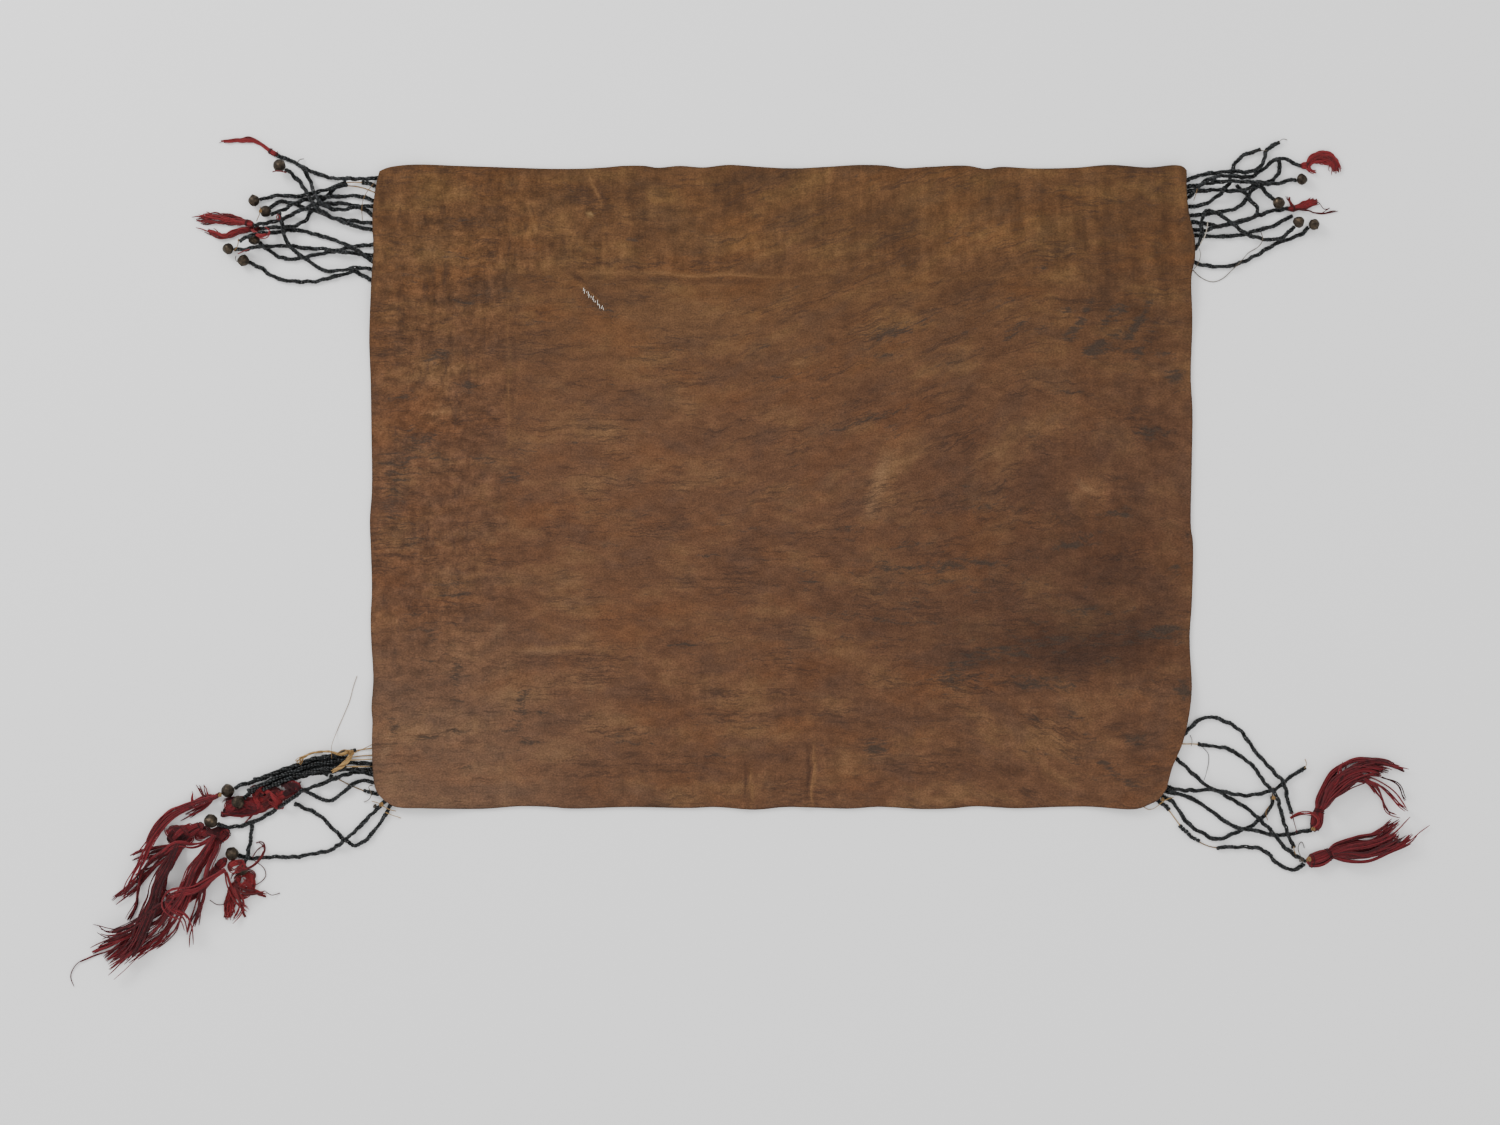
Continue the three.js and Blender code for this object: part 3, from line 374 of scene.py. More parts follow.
        Tassel("wool_bl_6", on="s3", head=Head([(305, 790), (297, 790)], 9, 6), bundles=[
            Bundle([(293, 792), (279, 797), (261, 804), (243, 810), (223, 816)], [7, 13, 12], 3, 2, 6.4),
        ]),
        BeadString("s2", bell=7.4, route=[(373, 775), (362, 772), (350, 773), (334, 779), (318, 785),
            (303, 791), (288, 801), (272, 812), (255, 821), (240, 826), (226, 826), (213, 820)]),
        BeadString("s6", beside="s2", bell=6, route=[(252, 823), (251, 836), (250, 848), (248, 857),
            (243, 869)]),
        BeadString("s1d", route=[(373, 770), (360, 769), (348, 769), (332, 771), (312, 774), (295, 778),
            (279, 784), (264, 793)]),
        BeadString("s1b", bell=6.6, route=[(373, 763), (360, 763), (348, 763), (334, 764.5), (316, 767),
            (299, 771), (280, 778), (263, 785.5), (252, 792), (240, 801)]),
        BeadString("s1a", bell=7, bare=[(0, 0.16)], route=[(373, 755), (360, 756), (349, 757.5),
            (335, 758.5), (318, 760.5), (300, 765), (280, 772), (262, 778.5), (245, 784), (229, 790)]),
        BeadString("s1e", bare=[(0, 0.16)], route=[(373, 748), (359, 750), (345, 752.5), (328, 755.5),
            (310, 760), (291, 766.5), (272, 773.5), (256, 779)]),
        BeadString("s1f", bare=[(0, 0.22)], route=[(373, 766.5), (361, 766), (347, 766), (332, 768),
            (314, 770.5), (298, 775), (281, 781.2), (265, 789.5)]),
        BeadString("s1g", bare=[(0, 0.2)], route=[(373, 759), (360, 759.5), (347, 760), (334, 761.5),
            (316, 764.2), (299, 769.2), (281, 775.7), (265, 783), (251, 790)]),
        Tie("twine_bl", widths=[4, 2.2, 2, 2.4, 4.6, 5, 3], route=[(298, 762), (305, 756), (317, 752),
            (331, 751), (342, 754), (351, 750), (351, 757), (345, 764), (334, 771)]),
        Tassel("wool_bl_2", on="s2",
            head=Head([(204.6, 824), (193, 830), (184, 837), (180, 848)], 12, 8), bundles=[
            Bundle([(180, 845), (165, 850), (150, 853), (132, 859)], [9, 11, 6], 3, 1, 5),
            Bundle([(180, 847), (160, 861), (141, 878), (127, 890), (114, 902)], [6, 9, 13], 4, 1, 4),
            Bundle([(181, 847), (168, 867), (158, 890), (149, 912), (139, 934), (126, 950), (108, 963)],
                [9, 15, 14], 4, 2, 5.6),
            Bundle([(178, 845), (152, 856), (141, 872), (139, 890), (136, 905), (128, 920)], [5, 7, 3],
                2, 1, 3.6),
        ]),
        Tassel("wool_bl_1", on="s1a", head=Head([(221.2, 793.6), (214, 797)], 6, 4.5), bundles=[
            Bundle([(219, 794), (204, 797), (190, 805), (172, 811), (158, 824), (149, 840), (141, 852)],
                [4, 6, 5], 2, 1, 4),
            Bundle([(217, 797), (206, 806), (193, 813), (180, 819)], [3, 6, 5], 2, 1, 4),
        ]),
        Tassel("wool_bl_4", on="s5a", head=Head([(226.4, 858.6), (218, 867)], 10, 7), bundles=[
            Bundle([(220, 865), (206, 881), (190, 895), (172, 906), (156, 918), (138, 929), (115, 938),
                (91, 948)], [8, 13, 10, 11], 4, 2, 5.6),
            Bundle([(221, 867), (203, 889), (186, 899), (173, 897), (167, 887), (171, 877)], [5, 8, 5],
                2, 1, 4),
            Bundle([(221, 866), (198, 888), (172, 903), (150, 918), (130, 927), (110, 928), (93, 925)],
                [3, 4, 2.4], 1, 1, 3),
            Bundle([(221, 866), (190, 893), (160, 918), (128, 943), (108, 951), (90, 957), (77, 964),
                (71, 976), (75, 986)], [2, 2, 1.4], 1, 1, 1.8),
        ]),
        Tassel("wool_bl_3", on="s2", side=True, head=Head([(230, 829), (219, 840)], 12, 7), bundles=[
            Bundle([(220, 838), (205, 856), (196, 872), (191, 888), (185, 904), (175, 921), (159, 939),
                (137, 956), (112, 974)], [9, 13, 9, 10], 4, 1, 5),
            Bundle([(222, 841), (213, 860), (208, 880), (203, 898), (197, 916), (192, 932), (189, 947)],
                [6, 8, 11], 4, 1, 4),
        ]),
        Tassel("wool_bl_5", on="s6", head=Head([(240.4, 876.6), (237, 882)], 7, 5), bundles=[
            Bundle([(237, 880), (232, 890), (230, 904), (229, 920)], [6, 9, 5], 3, 1, 4),
            Bundle([(238, 881), (245, 888), (255, 891), (267, 894)], [3, 5, 3], 2, 1, 3),
            Bundle([(237, 881), (240, 900), (246, 917)], [2, 3, 2], 1, 1, 2.4),
        ]),
    ]),
]

THREADS = [LooseThread(*row) for row in [
    (Yarn.TWINE, 0.8, [(375, 183), (366, 195), (363, 208), (363, 221)]),
    (Yarn.TWINE, 0.9, [(258, 222), (262, 214), (262, 208)]),
    (Yarn.TWINE, 1.0, [(241, 240), (240, 247), (236, 252)]),
    (Yarn.DARK, 1.0, [(298, 163), (300, 160), (304, 159)]),
    (Yarn.DARK, 0.9, [(238, 257), (237, 261), (239, 263)]),
    (Yarn.DARK, 0.8, [(1278, 143), (1282, 139), (1287, 140)]),
    (Yarn.DARK, 0.8, [(1259, 150), (1264, 152), (1266, 151)]),
    (Yarn.DARK, 0.9, [(1193, 270), (1200, 277), (1212, 282), (1222, 279), (1232, 270),
        (1240, 262), (1248, 253), (1258, 247), (1262, 240), (1260, 233)]),
    (Yarn.DARK, 0.7, [(1197, 247), (1200, 255), (1197, 265), (1194, 269)]),
    (Yarn.PALE, 0.9, [(1207, 222), (1204, 236), (1199, 245)]),
    (Yarn.TWINE, 0.8, [(1196, 190), (1193, 201)]),
    (Yarn.RED, 0.9, [(1322, 213), (1331, 207), (1325, 210), (1318, 203)]),
    (Yarn.RED, 1.0, [(1291, 812), (1294, 822), (1296, 832)]),
    (Yarn.RED, 1.1, [(1294, 817), (1302, 814), (1310, 815)]),
    (Yarn.TWINE, 0.9, [(1293, 846), (1293, 850), (1295, 854)]),
    (Yarn.TWINE, 0.9, [(1304, 768), (1306, 764), (1305, 759)]),
    (Yarn.TWINE, 0.8, [(1142, 806), (1150, 810), (1159, 804), (1166, 799), (1173, 797)]),
    (Yarn.DARK, 0.7, [(1190, 735), (1192, 740), (1191, 746)]),
    (Yarn.DARK, 0.7, [(1203, 748), (1208, 753), (1208, 766), (1203, 780)]),
    (Yarn.DARK, 0.9, [(1300, 858), (1297, 848), (1302, 841), (1304, 848)]),
    (Yarn.TWINE, 0.8, [(1268, 806), (1265, 812), (1267, 820)]),
    (Yarn.TWINE, 0.6, [(357, 676), (353, 688), (350, 700), (343, 717), (337, 731), (333, 745),
        (333, 758)]),
    (Yarn.TWINE, 1.1, [(338, 754), (342, 750), (347, 748.6), (352, 751)]),
    (Yarn.TWINE, 0.9, [(354, 753), (363, 749), (372, 744.5)]),
    (Yarn.DARK, 0.9, [(364, 802), (370, 799), (372, 792), (368, 786), (373, 785)]),
    (Yarn.TWINE, 0.9, [(372, 801), (380, 803), (387, 808), (396, 811)]),
    (Yarn.TWINE, 0.8, [(386, 812), (393, 815), (401, 818)]),
    (Yarn.RED, 1.0, [(266, 891), (272, 895), (280, 893)]),
    (Yarn.RED, 1.0, [(255, 860), (264, 868), (266, 876), (258, 884), (249, 887)]),
    (Yarn.RED, 0.9, [(210, 900), (218, 905), (228, 902), (234, 896)]),
    (Yarn.RED, 1.3, [(253, 857), (259, 848), (265, 845), (262, 841), (256, 843)]),
    (Yarn.RED, 1.2, [(262, 858), (266, 850), (264, 843)]),
    (Yarn.RED, 1.4, [(289, 175), (281, 173), (275, 174)]),
    (Yarn.RED, 1.3, [(281, 216), (279, 220), (284, 223), (282, 217)]),
    (Yarn.RED, 1.2, [(252, 251), (245, 253), (240, 255)]),
    (Yarn.RED, 1.3, [(262, 240), (270, 240), (273, 233), (268, 229)]),
]]

KNOTS = [
    Knot(Yarn.TWINE, (1307, 858), 4.0),
    Knot(Yarn.DARK, (1300, 859), 3.6),
    Knot(Yarn.TWINE, (1312, 828), 3.2),
    Knot(Yarn.TWINE, (353, 752), 4.6),
    Knot(Yarn.TWINE, (382, 804), 3.6),
    Knot(Yarn.DARK, (375, 806), 3.0),
    Knot(Yarn.TWINE, (1162, 799), 3.0),
    Knot(Yarn.TWINE, (262, 212), 2.6),
    Knot(Yarn.TWINE, (222, 794), 3.0),
    Knot(Yarn.TWINE, (1272, 797), 3.0),
]

# Tone patches of the hide, lighter above 0 and darker below 0; the narrow dark ones along the fold lines and
# the crease by the mend are painted shade
TONE_AND_FOLD_SHADE_PATCHES = blotches([
    (1010, 520, 220, 170, 0, -0.46), (1085, 650, 130, 40, 0, -0.65), (1110, 560, 90, 50, 0, -0.2),
    (1130, 270, 90, 90, 0, -0.25), (830, 610, 120, 40, 0, -0.15), (560, 770, 190, 30, 0, -0.15),
    (690, 700, 70, 26, 0, -0.15), (480, 300, 60, 40, 0, -0.1), (450, 480, 50, 60, 0, -0.15),
    (735, 215, 15, 44, 0, -0.35), (803, 215, 12, 40, 0, -0.3), (858, 225, 20, 30, 0, -0.2),
    (640, 205, 16, 30, 0, -0.2), (420, 205, 22, 26, 0, -0.25), (920, 200, 34, 26, 0, 0.25),
    (1010, 240, 40, 22, 0, 0.2), (680, 235, 30, 26, 0, 0.2), (560, 215, 26, 30, 0, 0.2),
    (430, 250, 36, 30, 0, 0.3), (700, 320, 160, 36, 0, 0.25), (620, 450, 150, 70, 0, 0.15),
    (470, 640, 44, 40, 0, 0.2), (880, 480, 13, 44, -12, 0.75), (868, 508, 9, 14, 0, 0.35),
    (1083, 487, 20, 8, -35, 0.9), (1102, 484, 9, 12, 0, 0.55), (1064, 425, 26, 16, 0, 0.3),
    (1110, 705, 60, 32, 0, 0.28), (1130, 450, 60, 240, 0, -0.14), (1120, 210, 90, 60, 0, -0.14),
    (990, 745, 70, 26, 0, 0.2), (720, 650, 5, 44, 0, 0.2), (545, 652, 34, 4, 0, 0.45),
    (500, 628, 5, 9, -30, 0.3), (590, 688, 6, 10, 0, 0.4), (386, 752, 6, 14, -30, 0.5),
    (1060, 280, 4, 14, 0, 0.35), (590, 215, 2.5, 2.5, 0, 1.6), (602, 192, 3.0, 20, 18, -0.5),
    (576, 277, 28, 4, -28, -0.6), (596, 302, 16, 9, -45, -0.55), (791, 180, 3.0, 14, 0, -0.4),
    (750, 792, 3.0, 18, 12, -0.45), (801, 790, 3.0, 20, -4, -0.45), (768, 785, 5, 22, 6, 0.3),
])

STAINS = blotches([
    (888, 335, 26, 7, 15, 0.9), (920, 321, 24, 4.7, 15, 0.8), (882, 354, 20, 4, 8, 0.7),
    (872, 416, 26, 5.4, 14, 0.8), (838, 430, 26, 3, 10, 0.6), (898, 430, 10, 8, 0, 0.5),
    (948, 421, 22, 4, 8, 0.5), (965, 352, 30, 3, 10, 0.4), (925, 368, 28, 3, 12, 0.4),
    (778, 378, 28, 3, 10, 0.6), (762, 347, 12, 3, 30, 0.5), (677, 352, 12, 4, 10, 0.5),
    (632, 348, 22, 3, 0, 0.5), (668, 366, 14, 3, 8, 0.4), (666, 381, 16, 3, 8, 0.4),
    (817, 349, 24, 3, 12, 0.5), (967, 232, 26, 6, 10, 0.6), (1022, 217, 12, 3, 35, 0.5),
    (1027, 242, 5, 7, 0, 0.6), (1043, 267, 16, 3, 38, 0.6), (1005, 300, 20, 3, 25, 0.6),
    (980, 313, 28, 3, 15, 0.5), (974, 332, 28, 3, 15, 0.5), (1020, 326, 14, 5.4, 35, 0.8),
    (1007, 340, 12, 4, 35, 0.6), (1040, 331, 16, 4.7, 25, 0.8), (1068, 311, 7, 5, 20, 0.9),
    (1083, 318, 4.6, 20, -28, 1.1), (1092, 350, 10, 5, 10, 0.7), (1114, 339, 4, 14, -42, 0.7),
    (1121, 311, 4.6, 13, -36, 0.8), (1130, 333, 4.8, 17, -33, 0.9), (1148, 304, 4.4, 12, -36, 0.6),
    (1136, 352, 8, 7, 0, 1.1), (1160, 353, 14, 5, 0, 0.7), (1176, 376, 14, 8.1, 15, 1),
    (1146, 432, 24, 5.4, 3, 0.9), (1132, 410, 6, 6, 0, 0.6), (1070, 392, 30, 4, 0, 0.4),
    (1120, 514, 24, 5.4, 5, 0.8), (1072, 544, 24, 8, 5, 0.9), (988, 505, 24, 7, 0, 0.6),
    (960, 487, 24, 4, 0, 0.5), (930, 512, 30, 6, 0, 0.5), (840, 531, 50, 5, 0, 0.5),
    (900, 547, 50, 6, 0, 0.6), (905, 567, 56, 6, 0, 0.75), (975, 562, 30, 8, 3, 0.7),
    (806, 580, 14, 12, 0, 0.6), (722, 518, 10, 10, 0, 0.5), (752, 529, 20, 4, 0, 0.5),
    (742, 558, 44, 3, -4, 0.5), (620, 514, 60, 3, 0, 0.5), (580, 545, 50, 3, 0, 0.45),
    (530, 449, 24, 3, 0, 0.6), (575, 442, 14, 3, 8, 0.6), (512, 477, 16, 8, 0, 0.7),
    (470, 458, 40, 5, 0, 0.6), (420, 440, 20, 16, 0, 0.65), (398, 468, 20, 18, 0, 0.6),
    (392, 508, 14, 22, 0, 0.6), (418, 543, 18, 10, 0, 0.5), (437, 356, 16, 8.1, 10, 0.9),
    (468, 386, 14, 6, 0, 0.7), (402, 396, 18, 4, 0, 0.7), (470, 301, 18, 5, 0, 0.7),
    (500, 292, 26, 5, 0, 0.55), (452, 254, 20, 6, 0, 0.55), (468, 224, 24, 5, 0, 0.5),
    (412, 278, 10, 8, 0, 0.6), (530, 322, 30, 3, 0, 0.55), (606, 309, 16, 9, 0, 0.6),
    (545, 281, 30, 3, 0, 0.4), (632, 241, 8, 4.1, 0, 0.8), (458, 588, 16, 14, 0, 0.6),
    (458, 676, 6.8, 18, 0, 0.8), (523, 705, 8.1, 16, -15, 1), (541, 712, 10, 4, 0, 0.6),
    (512, 731, 18, 4, 0, 0.7), (528, 742, 14, 5, 0, 0.7), (425, 740, 14, 10, 0, 0.6),
    (394, 726, 5, 16, 0, 0.7), (470, 766, 14, 6, 0, 0.5), (460, 732, 14, 5, 0, 0.5),
    (628, 739, 24, 7, 0, 0.55), (708, 758, 26, 6, 0, 0.5), (684, 645, 14, 5, 8, 0.7),
    (790, 655, 6, 14, 0, 0.6), (842, 615, 22, 5, 0, 0.6), (890, 607, 30, 3, 0, 0.7),
    (905, 620, 50, 5, 0, 0.6), (848, 637, 20, 3, 0, 0.6), (900, 641, 30, 3, 0, 0.5),
    (952, 674, 24, 16, 0, 0.85), (1000, 655, 34, 10, 0, 0.65), (1045, 640, 60, 14, 0, 0.55),
    (1035, 683, 50, 8.1, 0, 0.8), (1140, 636, 34, 10, 0, 0.6), (1172, 630, 16, 8, 0, 0.9),
    (1184, 690, 8, 12, 30, 1), (1090, 612, 30, 6, 0, 0.7), (1110, 660, 14, 6, 0, 0.7),
    (1176, 572, 8, 10, 0, 0.6), (1188, 538, 4, 10, 0, 0.7), (1072, 713, 14, 5, -30, 0.7),
    (1032, 718, 16, 4, -15, 0.6), (1032, 752, 24, 3, -15, 0.7), (1078, 762, 16, 4, -35, 0.7),
    (1090, 738, 12, 4.7, -40, 0.8), (1106, 766, 16, 5.4, -40, 0.8), (1128, 782, 14, 5.4, -15, 1),
    (1134, 739, 12, 6.8, -5, 0.8), (873, 748, 13, 8.1, 0, 1), (960, 590, 120, 16, 0, 0.4),
    (430, 640, 30, 60, 0, 0.3), (1068, 334, 4.6, 12, -40, 0.8), (1108, 318, 4.2, 20, -30, 0.8),
    (1096, 346, 4.6, 14, -48, 0.9), (1140, 320, 4.4, 14, -36, 0.8), (1100, 352, 16, 4, 5, 0.8),
    (1152, 332, 5, 12, -35, 0.7),
])

CURLY = {"wool_tl_1", "wool_tl_2", "wool_tl_3", "wool_tr_1", "wool_tr_2", "wool_bl_5", "wool_bl_6"}

PRESSED = blotches([
    (440, 330, 90, 150, 0, 1.0), (520, 230, 130, 60, 0, 0.6), (430, 600, 70, 170, 0, 0.8),
])

LOCKS = [Lock(*row) for row in [
    (Yarn.WINE, 10, 13, [(219, 796), (205, 800), (187, 806), (170, 816), (157, 829), (149, 845),
        (143, 860)]),
    (Yarn.WINE, 7, 9, [(190, 808), (174, 815), (160, 829), (150, 845), (141, 864), (131, 882),
        (119, 904)]),
    (Yarn.RED, 3, 4, [(208, 803), (203, 794), (197, 784)]),
    (Yarn.RED, 2, 3, [(212, 801), (207, 792), (205, 782)]),
    (Yarn.WINE, 2.4, 3, [(196, 808), (193, 799), (194, 789)]),
    (Yarn.WINE, 14, 18, [(181, 842), (171, 862), (161, 882), (154, 902), (147, 922), (139, 942),
        (122, 962)]),
    (Yarn.WINE, 11, 13, [(216, 834), (207, 850), (197, 866), (191, 880), (183, 895), (172, 912),
        (160, 930)]),
    (Yarn.WINE, 11, 14, [(228, 868), (212, 879), (197, 887), (184, 889), (173, 893), (169, 902),
        (177, 911), (187, 916), (191, 930), (190, 946)]),
    (Yarn.WINE, 8, 10, [(178, 898), (163, 904), (148, 914), (130, 926), (112, 932), (94, 926)]),
    (Yarn.WINE, 7, 9, [(170, 915), (156, 928), (138, 944), (122, 958), (106, 972)]),
    (Yarn.WINE, 6, 7, [(214, 836), (205, 842), (194, 845), (182, 842), (172, 846), (160, 856)]),
    (Yarn.RED, 5, 6, [(236, 884), (244, 890), (255, 892), (268, 889)]),
    (Yarn.RED, 6, 7, [(236, 886), (242, 900), (239, 913), (232, 922)]),
    (Yarn.RED, 5, 6, [(226, 872), (231, 888), (240, 902), (249, 910)]),
    (Yarn.RED, 3, 4, [(240, 870), (252, 866), (262, 858), (266, 847), (258, 842)]),
    (Yarn.WINE, 19, 18, [(1321, 806), (1326, 796), (1335, 786), (1346, 778), (1362, 772), (1376, 772)]),
    (Yarn.WINE, 3, 4, [(1329, 790), (1337, 774), (1342, 759)]),
    (Yarn.WINE, 2.6, 3, [(1338, 782), (1344, 769), (1346, 758)]),
    (Yarn.WINE, 3, 4, [(1354, 780), (1370, 783), (1380, 796), (1386, 812), (1398, 817)]),
    (Yarn.WINE, 3, 4, [(1362, 778), (1378, 785), (1391, 796), (1400, 806), (1412, 812)]),
    (Yarn.WINE, 2, 3, [(1380, 776), (1396, 783), (1402, 795), (1410, 808)]),
    (Yarn.WINE, 17, 16, [(1331, 853), (1344, 850), (1364, 849), (1384, 842), (1402, 832)]),
    (Yarn.RED, 3, 3, [(1290, 818), (1300, 813), (1312, 813), (1318, 821), (1312, 828), (1304, 823)]),
]]

TANGLES = [
    Tangle(Yarn.WINE, (243, 806), (22, 9), 60),
    Tangle(Yarn.WINE, (292, 789), (13, 9), 26),
    Tangle(Yarn.RED, (268, 798), (17, 12), 34),
    Tangle(Yarn.WINE, (180, 833), (13, 9), 46),
    Tangle(Yarn.WINE, (212, 832), (15, 6), 24),
    Tangle(Yarn.RED, (243, 884), (12, 14), 20),
    Tangle(Yarn.RED, (238, 866), (10, 7), 14),
]

# Lines of painted light and shade: each a painted highlight with a painted shadow beside it, turned round
# where the tone is below 0
RIDGE_LIGHT_AND_SHADE = blotches([
    (690, 275, 150, 3.2, 0, 0.5), (960, 278, 110, 3.2, 0, 0.25), (510, 380, 3.2, 90, 0, 0.4),
    (560, 651, 40, 3.2, 0, 0.45), (1061, 420, 3.2, 140, 0, 0.2), (808, 772, 2.6, 36, 0, -0.7),
    (746, 784, 2.6, 26, 0, -0.6), (798, 186, 18, 2.6, -63, 0.55), (596, 190, 20, 2.6, -73, 0.7),
    (536, 225, 26, 2.6, -76, 0.5), (585, 287, 16, 2.6, -40, -0.9),
])

MEND = {"start": (583.0, 289.0), "end": (604.0, 310.0), "stitches": 14, "length": 3.8, "thick": 0.5}


def place(point: Point) -> np.ndarray:
    """Gives a plan place in mm in the part's own frame."""
    return np.array([point[0] - SHEET_MIDDLE[0], SHEET_MIDDLE[1] - point[1]])


def smoothstep(value: np.ndarray | float, low: float, high: float) -> np.ndarray | float:
    """Rises softly from 0 at low to 1 at high."""
    share = np.clip((np.asarray(value, dtype=float) - low) / (high - low), 0.0, 1.0)
    return share * share * (3.0 - 2.0 * share)


def rounded(value: float) -> int:
    """Rounds a half upwards."""
    return int(math.floor(value + 0.5))


class SmoothLine:
    """A centripetal curve through points in the plan."""

    DIVISIONS = 200

    def __init__(self, points: list[np.ndarray]) -> None:
        """Keeps the points and measures the curve.

        Args:
            points: places in the plan, in mm; a middle one is added to a pair.
        """
        if len(points) == 2:
            points = [points[0], (points[0] + points[1]) / 2, points[1]]
        self.points = [np.asarray(p, dtype=float) for p in points]
        shares = np.linspace(0.0, 1.0, self.DIVISIONS + 1)
        places = np.array([self.at(t) for t in shares])
        steps = np.hypot(*np.diff(places, axis=0).T)
        self.lengths = np.concatenate([[0.0], np.cumsum(steps)])
        self.shares = shares

    def at(self, t: float) -> np.ndarray:
        """Gives the place at a share of the curve's own parameter."""
        points = self.points
        last = len(points) - 1
        i = min(int(math.floor(last * t)), last - 1)
        w = last * t - i
        p1, p2 = points[i], points[i + 1]
        p0 = points[i - 1] if i > 0 else 2 * p1 - p2
        p3 = points[i + 2] if i + 2 <= last else 2 * p2 - p1
        d0, d1, d2 = (max(np.hypot(*(b - a)), 1e-6) ** 0.5 for a, b in ((p0, p1), (p1, p2), (p2, p3)))
        t1 = ((p1 - p0) / d0 - (p2 - p0) / (d0 + d1) + (p2 - p1) / d1) * d1
        t2 = ((p2 - p1) / d1 - (p3 - p1) / (d1 + d2) + (p3 - p2) / d2) * d1
        c2 = -3 * p1 + 3 * p2 - 2 * t1 - t2
        c3 = 2 * p1 - 2 * p2 + t1 + t2
        return p1 + t1 * w + c2 * w * w + c3 * w ** 3

    def spaced(self, count: int) -> np.ndarray:
        """Gives count + 1 places at even distances along the curve."""
        targets = np.linspace(0.0, self.lengths[-1], count + 1)
        return np.array([self.at(t) for t in np.interp(targets, self.lengths, self.shares)])


@dataclass
class Stations:
    """Places along a route with the piece's width, height and base there, in mm."""

    plan: np.ndarray
    share: np.ndarray
    width: np.ndarray
    height: np.ndarray
    base: np.ndarray

    @classmethod
    def along(cls, route: list[Point], widths: list[float] | tuple = (0.0,),
              height: float = 0.0) -> "Stations":
        """Gives stations one step apart along a smooth line through a route's points.

        Args:
            route: plan places.
            widths: the piece's widths, spaced evenly from its start to its end.
            height: the piece's height.

        Returns:
            The stations, with their base on the ground.
        """
        line = SmoothLine([place(p) for p in route])
        count = max(2, rounded(line.lengths[-1] / STEP))
        share = np.arange(count + 1) / count
        width = np.interp(share, np.linspace(0.0, 1.0, len(widths)), widths)
        return cls(line.spaced(count), share, width, np.full(count + 1, float(height)), np.zeros(count + 1))

    def kept(self, index: np.ndarray | list[int]) -> "Stations":
        """Gives some of the stations."""
        rows = np.asarray(index)
        return Stations(*(getattr(self, k)[rows] for k in ("plan", "share", "width", "height", "base")))

    def simplified(self) -> "Stations":
        """Leaves out the stations that add nothing to the piece's shape."""
        kept = {0, len(self.share) - 1}

        def divide(first: int, last: int) -> None:
            """Keeps the station that lies farthest off the straight line, and divides there."""
            worst, at = 1.0, None
            for i in range(first + 1, last):
                share = (i - first) / (last - first)
                off = {
                    key: values[i] - (values[first] + (values[last] - values[first]) * share)
                    for key, values in (("plan", self.plan), ("base", self.base), ("width", self.width))
                }
                error = max(
                    float(np.hypot(*off["plan"])) / TOLERANCE["plan"],
                    abs(float(off["base"])) / TOLERANCE["base"],
                    abs(float(off["width"])) / TOLERANCE["width"],
                )
                if error > worst:
                    worst, at = error, i
            if at is not None:
                kept.add(at)
                divide(first, at)
                divide(at, last)

        divide(0, len(self.share) - 1)
        return self.kept(sorted(kept))

    def discs(self) -> np.ndarray:
        """Gives the upright discs that the piece covers.

        Returns:
            A row for each disc: x, y, radius, the station before it, the share to the next, top.
        """
        rows = []
        top = self.base + self.height
        for i in range(len(self.share) - 1):
            step = self.plan[i + 1] - self.plan[i]
            length = float(np.hypot(*step))
            across = np.array([-step[1], step[0]]) / max(length, 1e-9)
            steps = max(1, math.ceil(length / SAMPLE))
            for k in range(steps + 1):
                share = k / steps
                width = self.width[i] + (self.width[i + 1] - self.width[i]) * share
                count = max(1, rounded(width / DISC))
                radius = width / count / 2
                for n in range(count):
                    spot = self.plan[i] + step * share + across * (2 * n + 1 - count) * radius
                    high = top[i] + (top[i + 1] - top[i]) * share
                    rows.append((spot[0], spot[1], radius, i, share, high))
        return np.array(rows)


@dataclass
class BellPlace:
    """Where a bell lies: its middle, the radius of its seam, its base, and the way to its string."""

    middle: np.ndarray
    rim: float
    radius: float
    base: float = 0.0
    towards: np.ndarray = field(default_factory=lambda: np.array([1.0, 0.0]))
    lug_height: float = 0.0


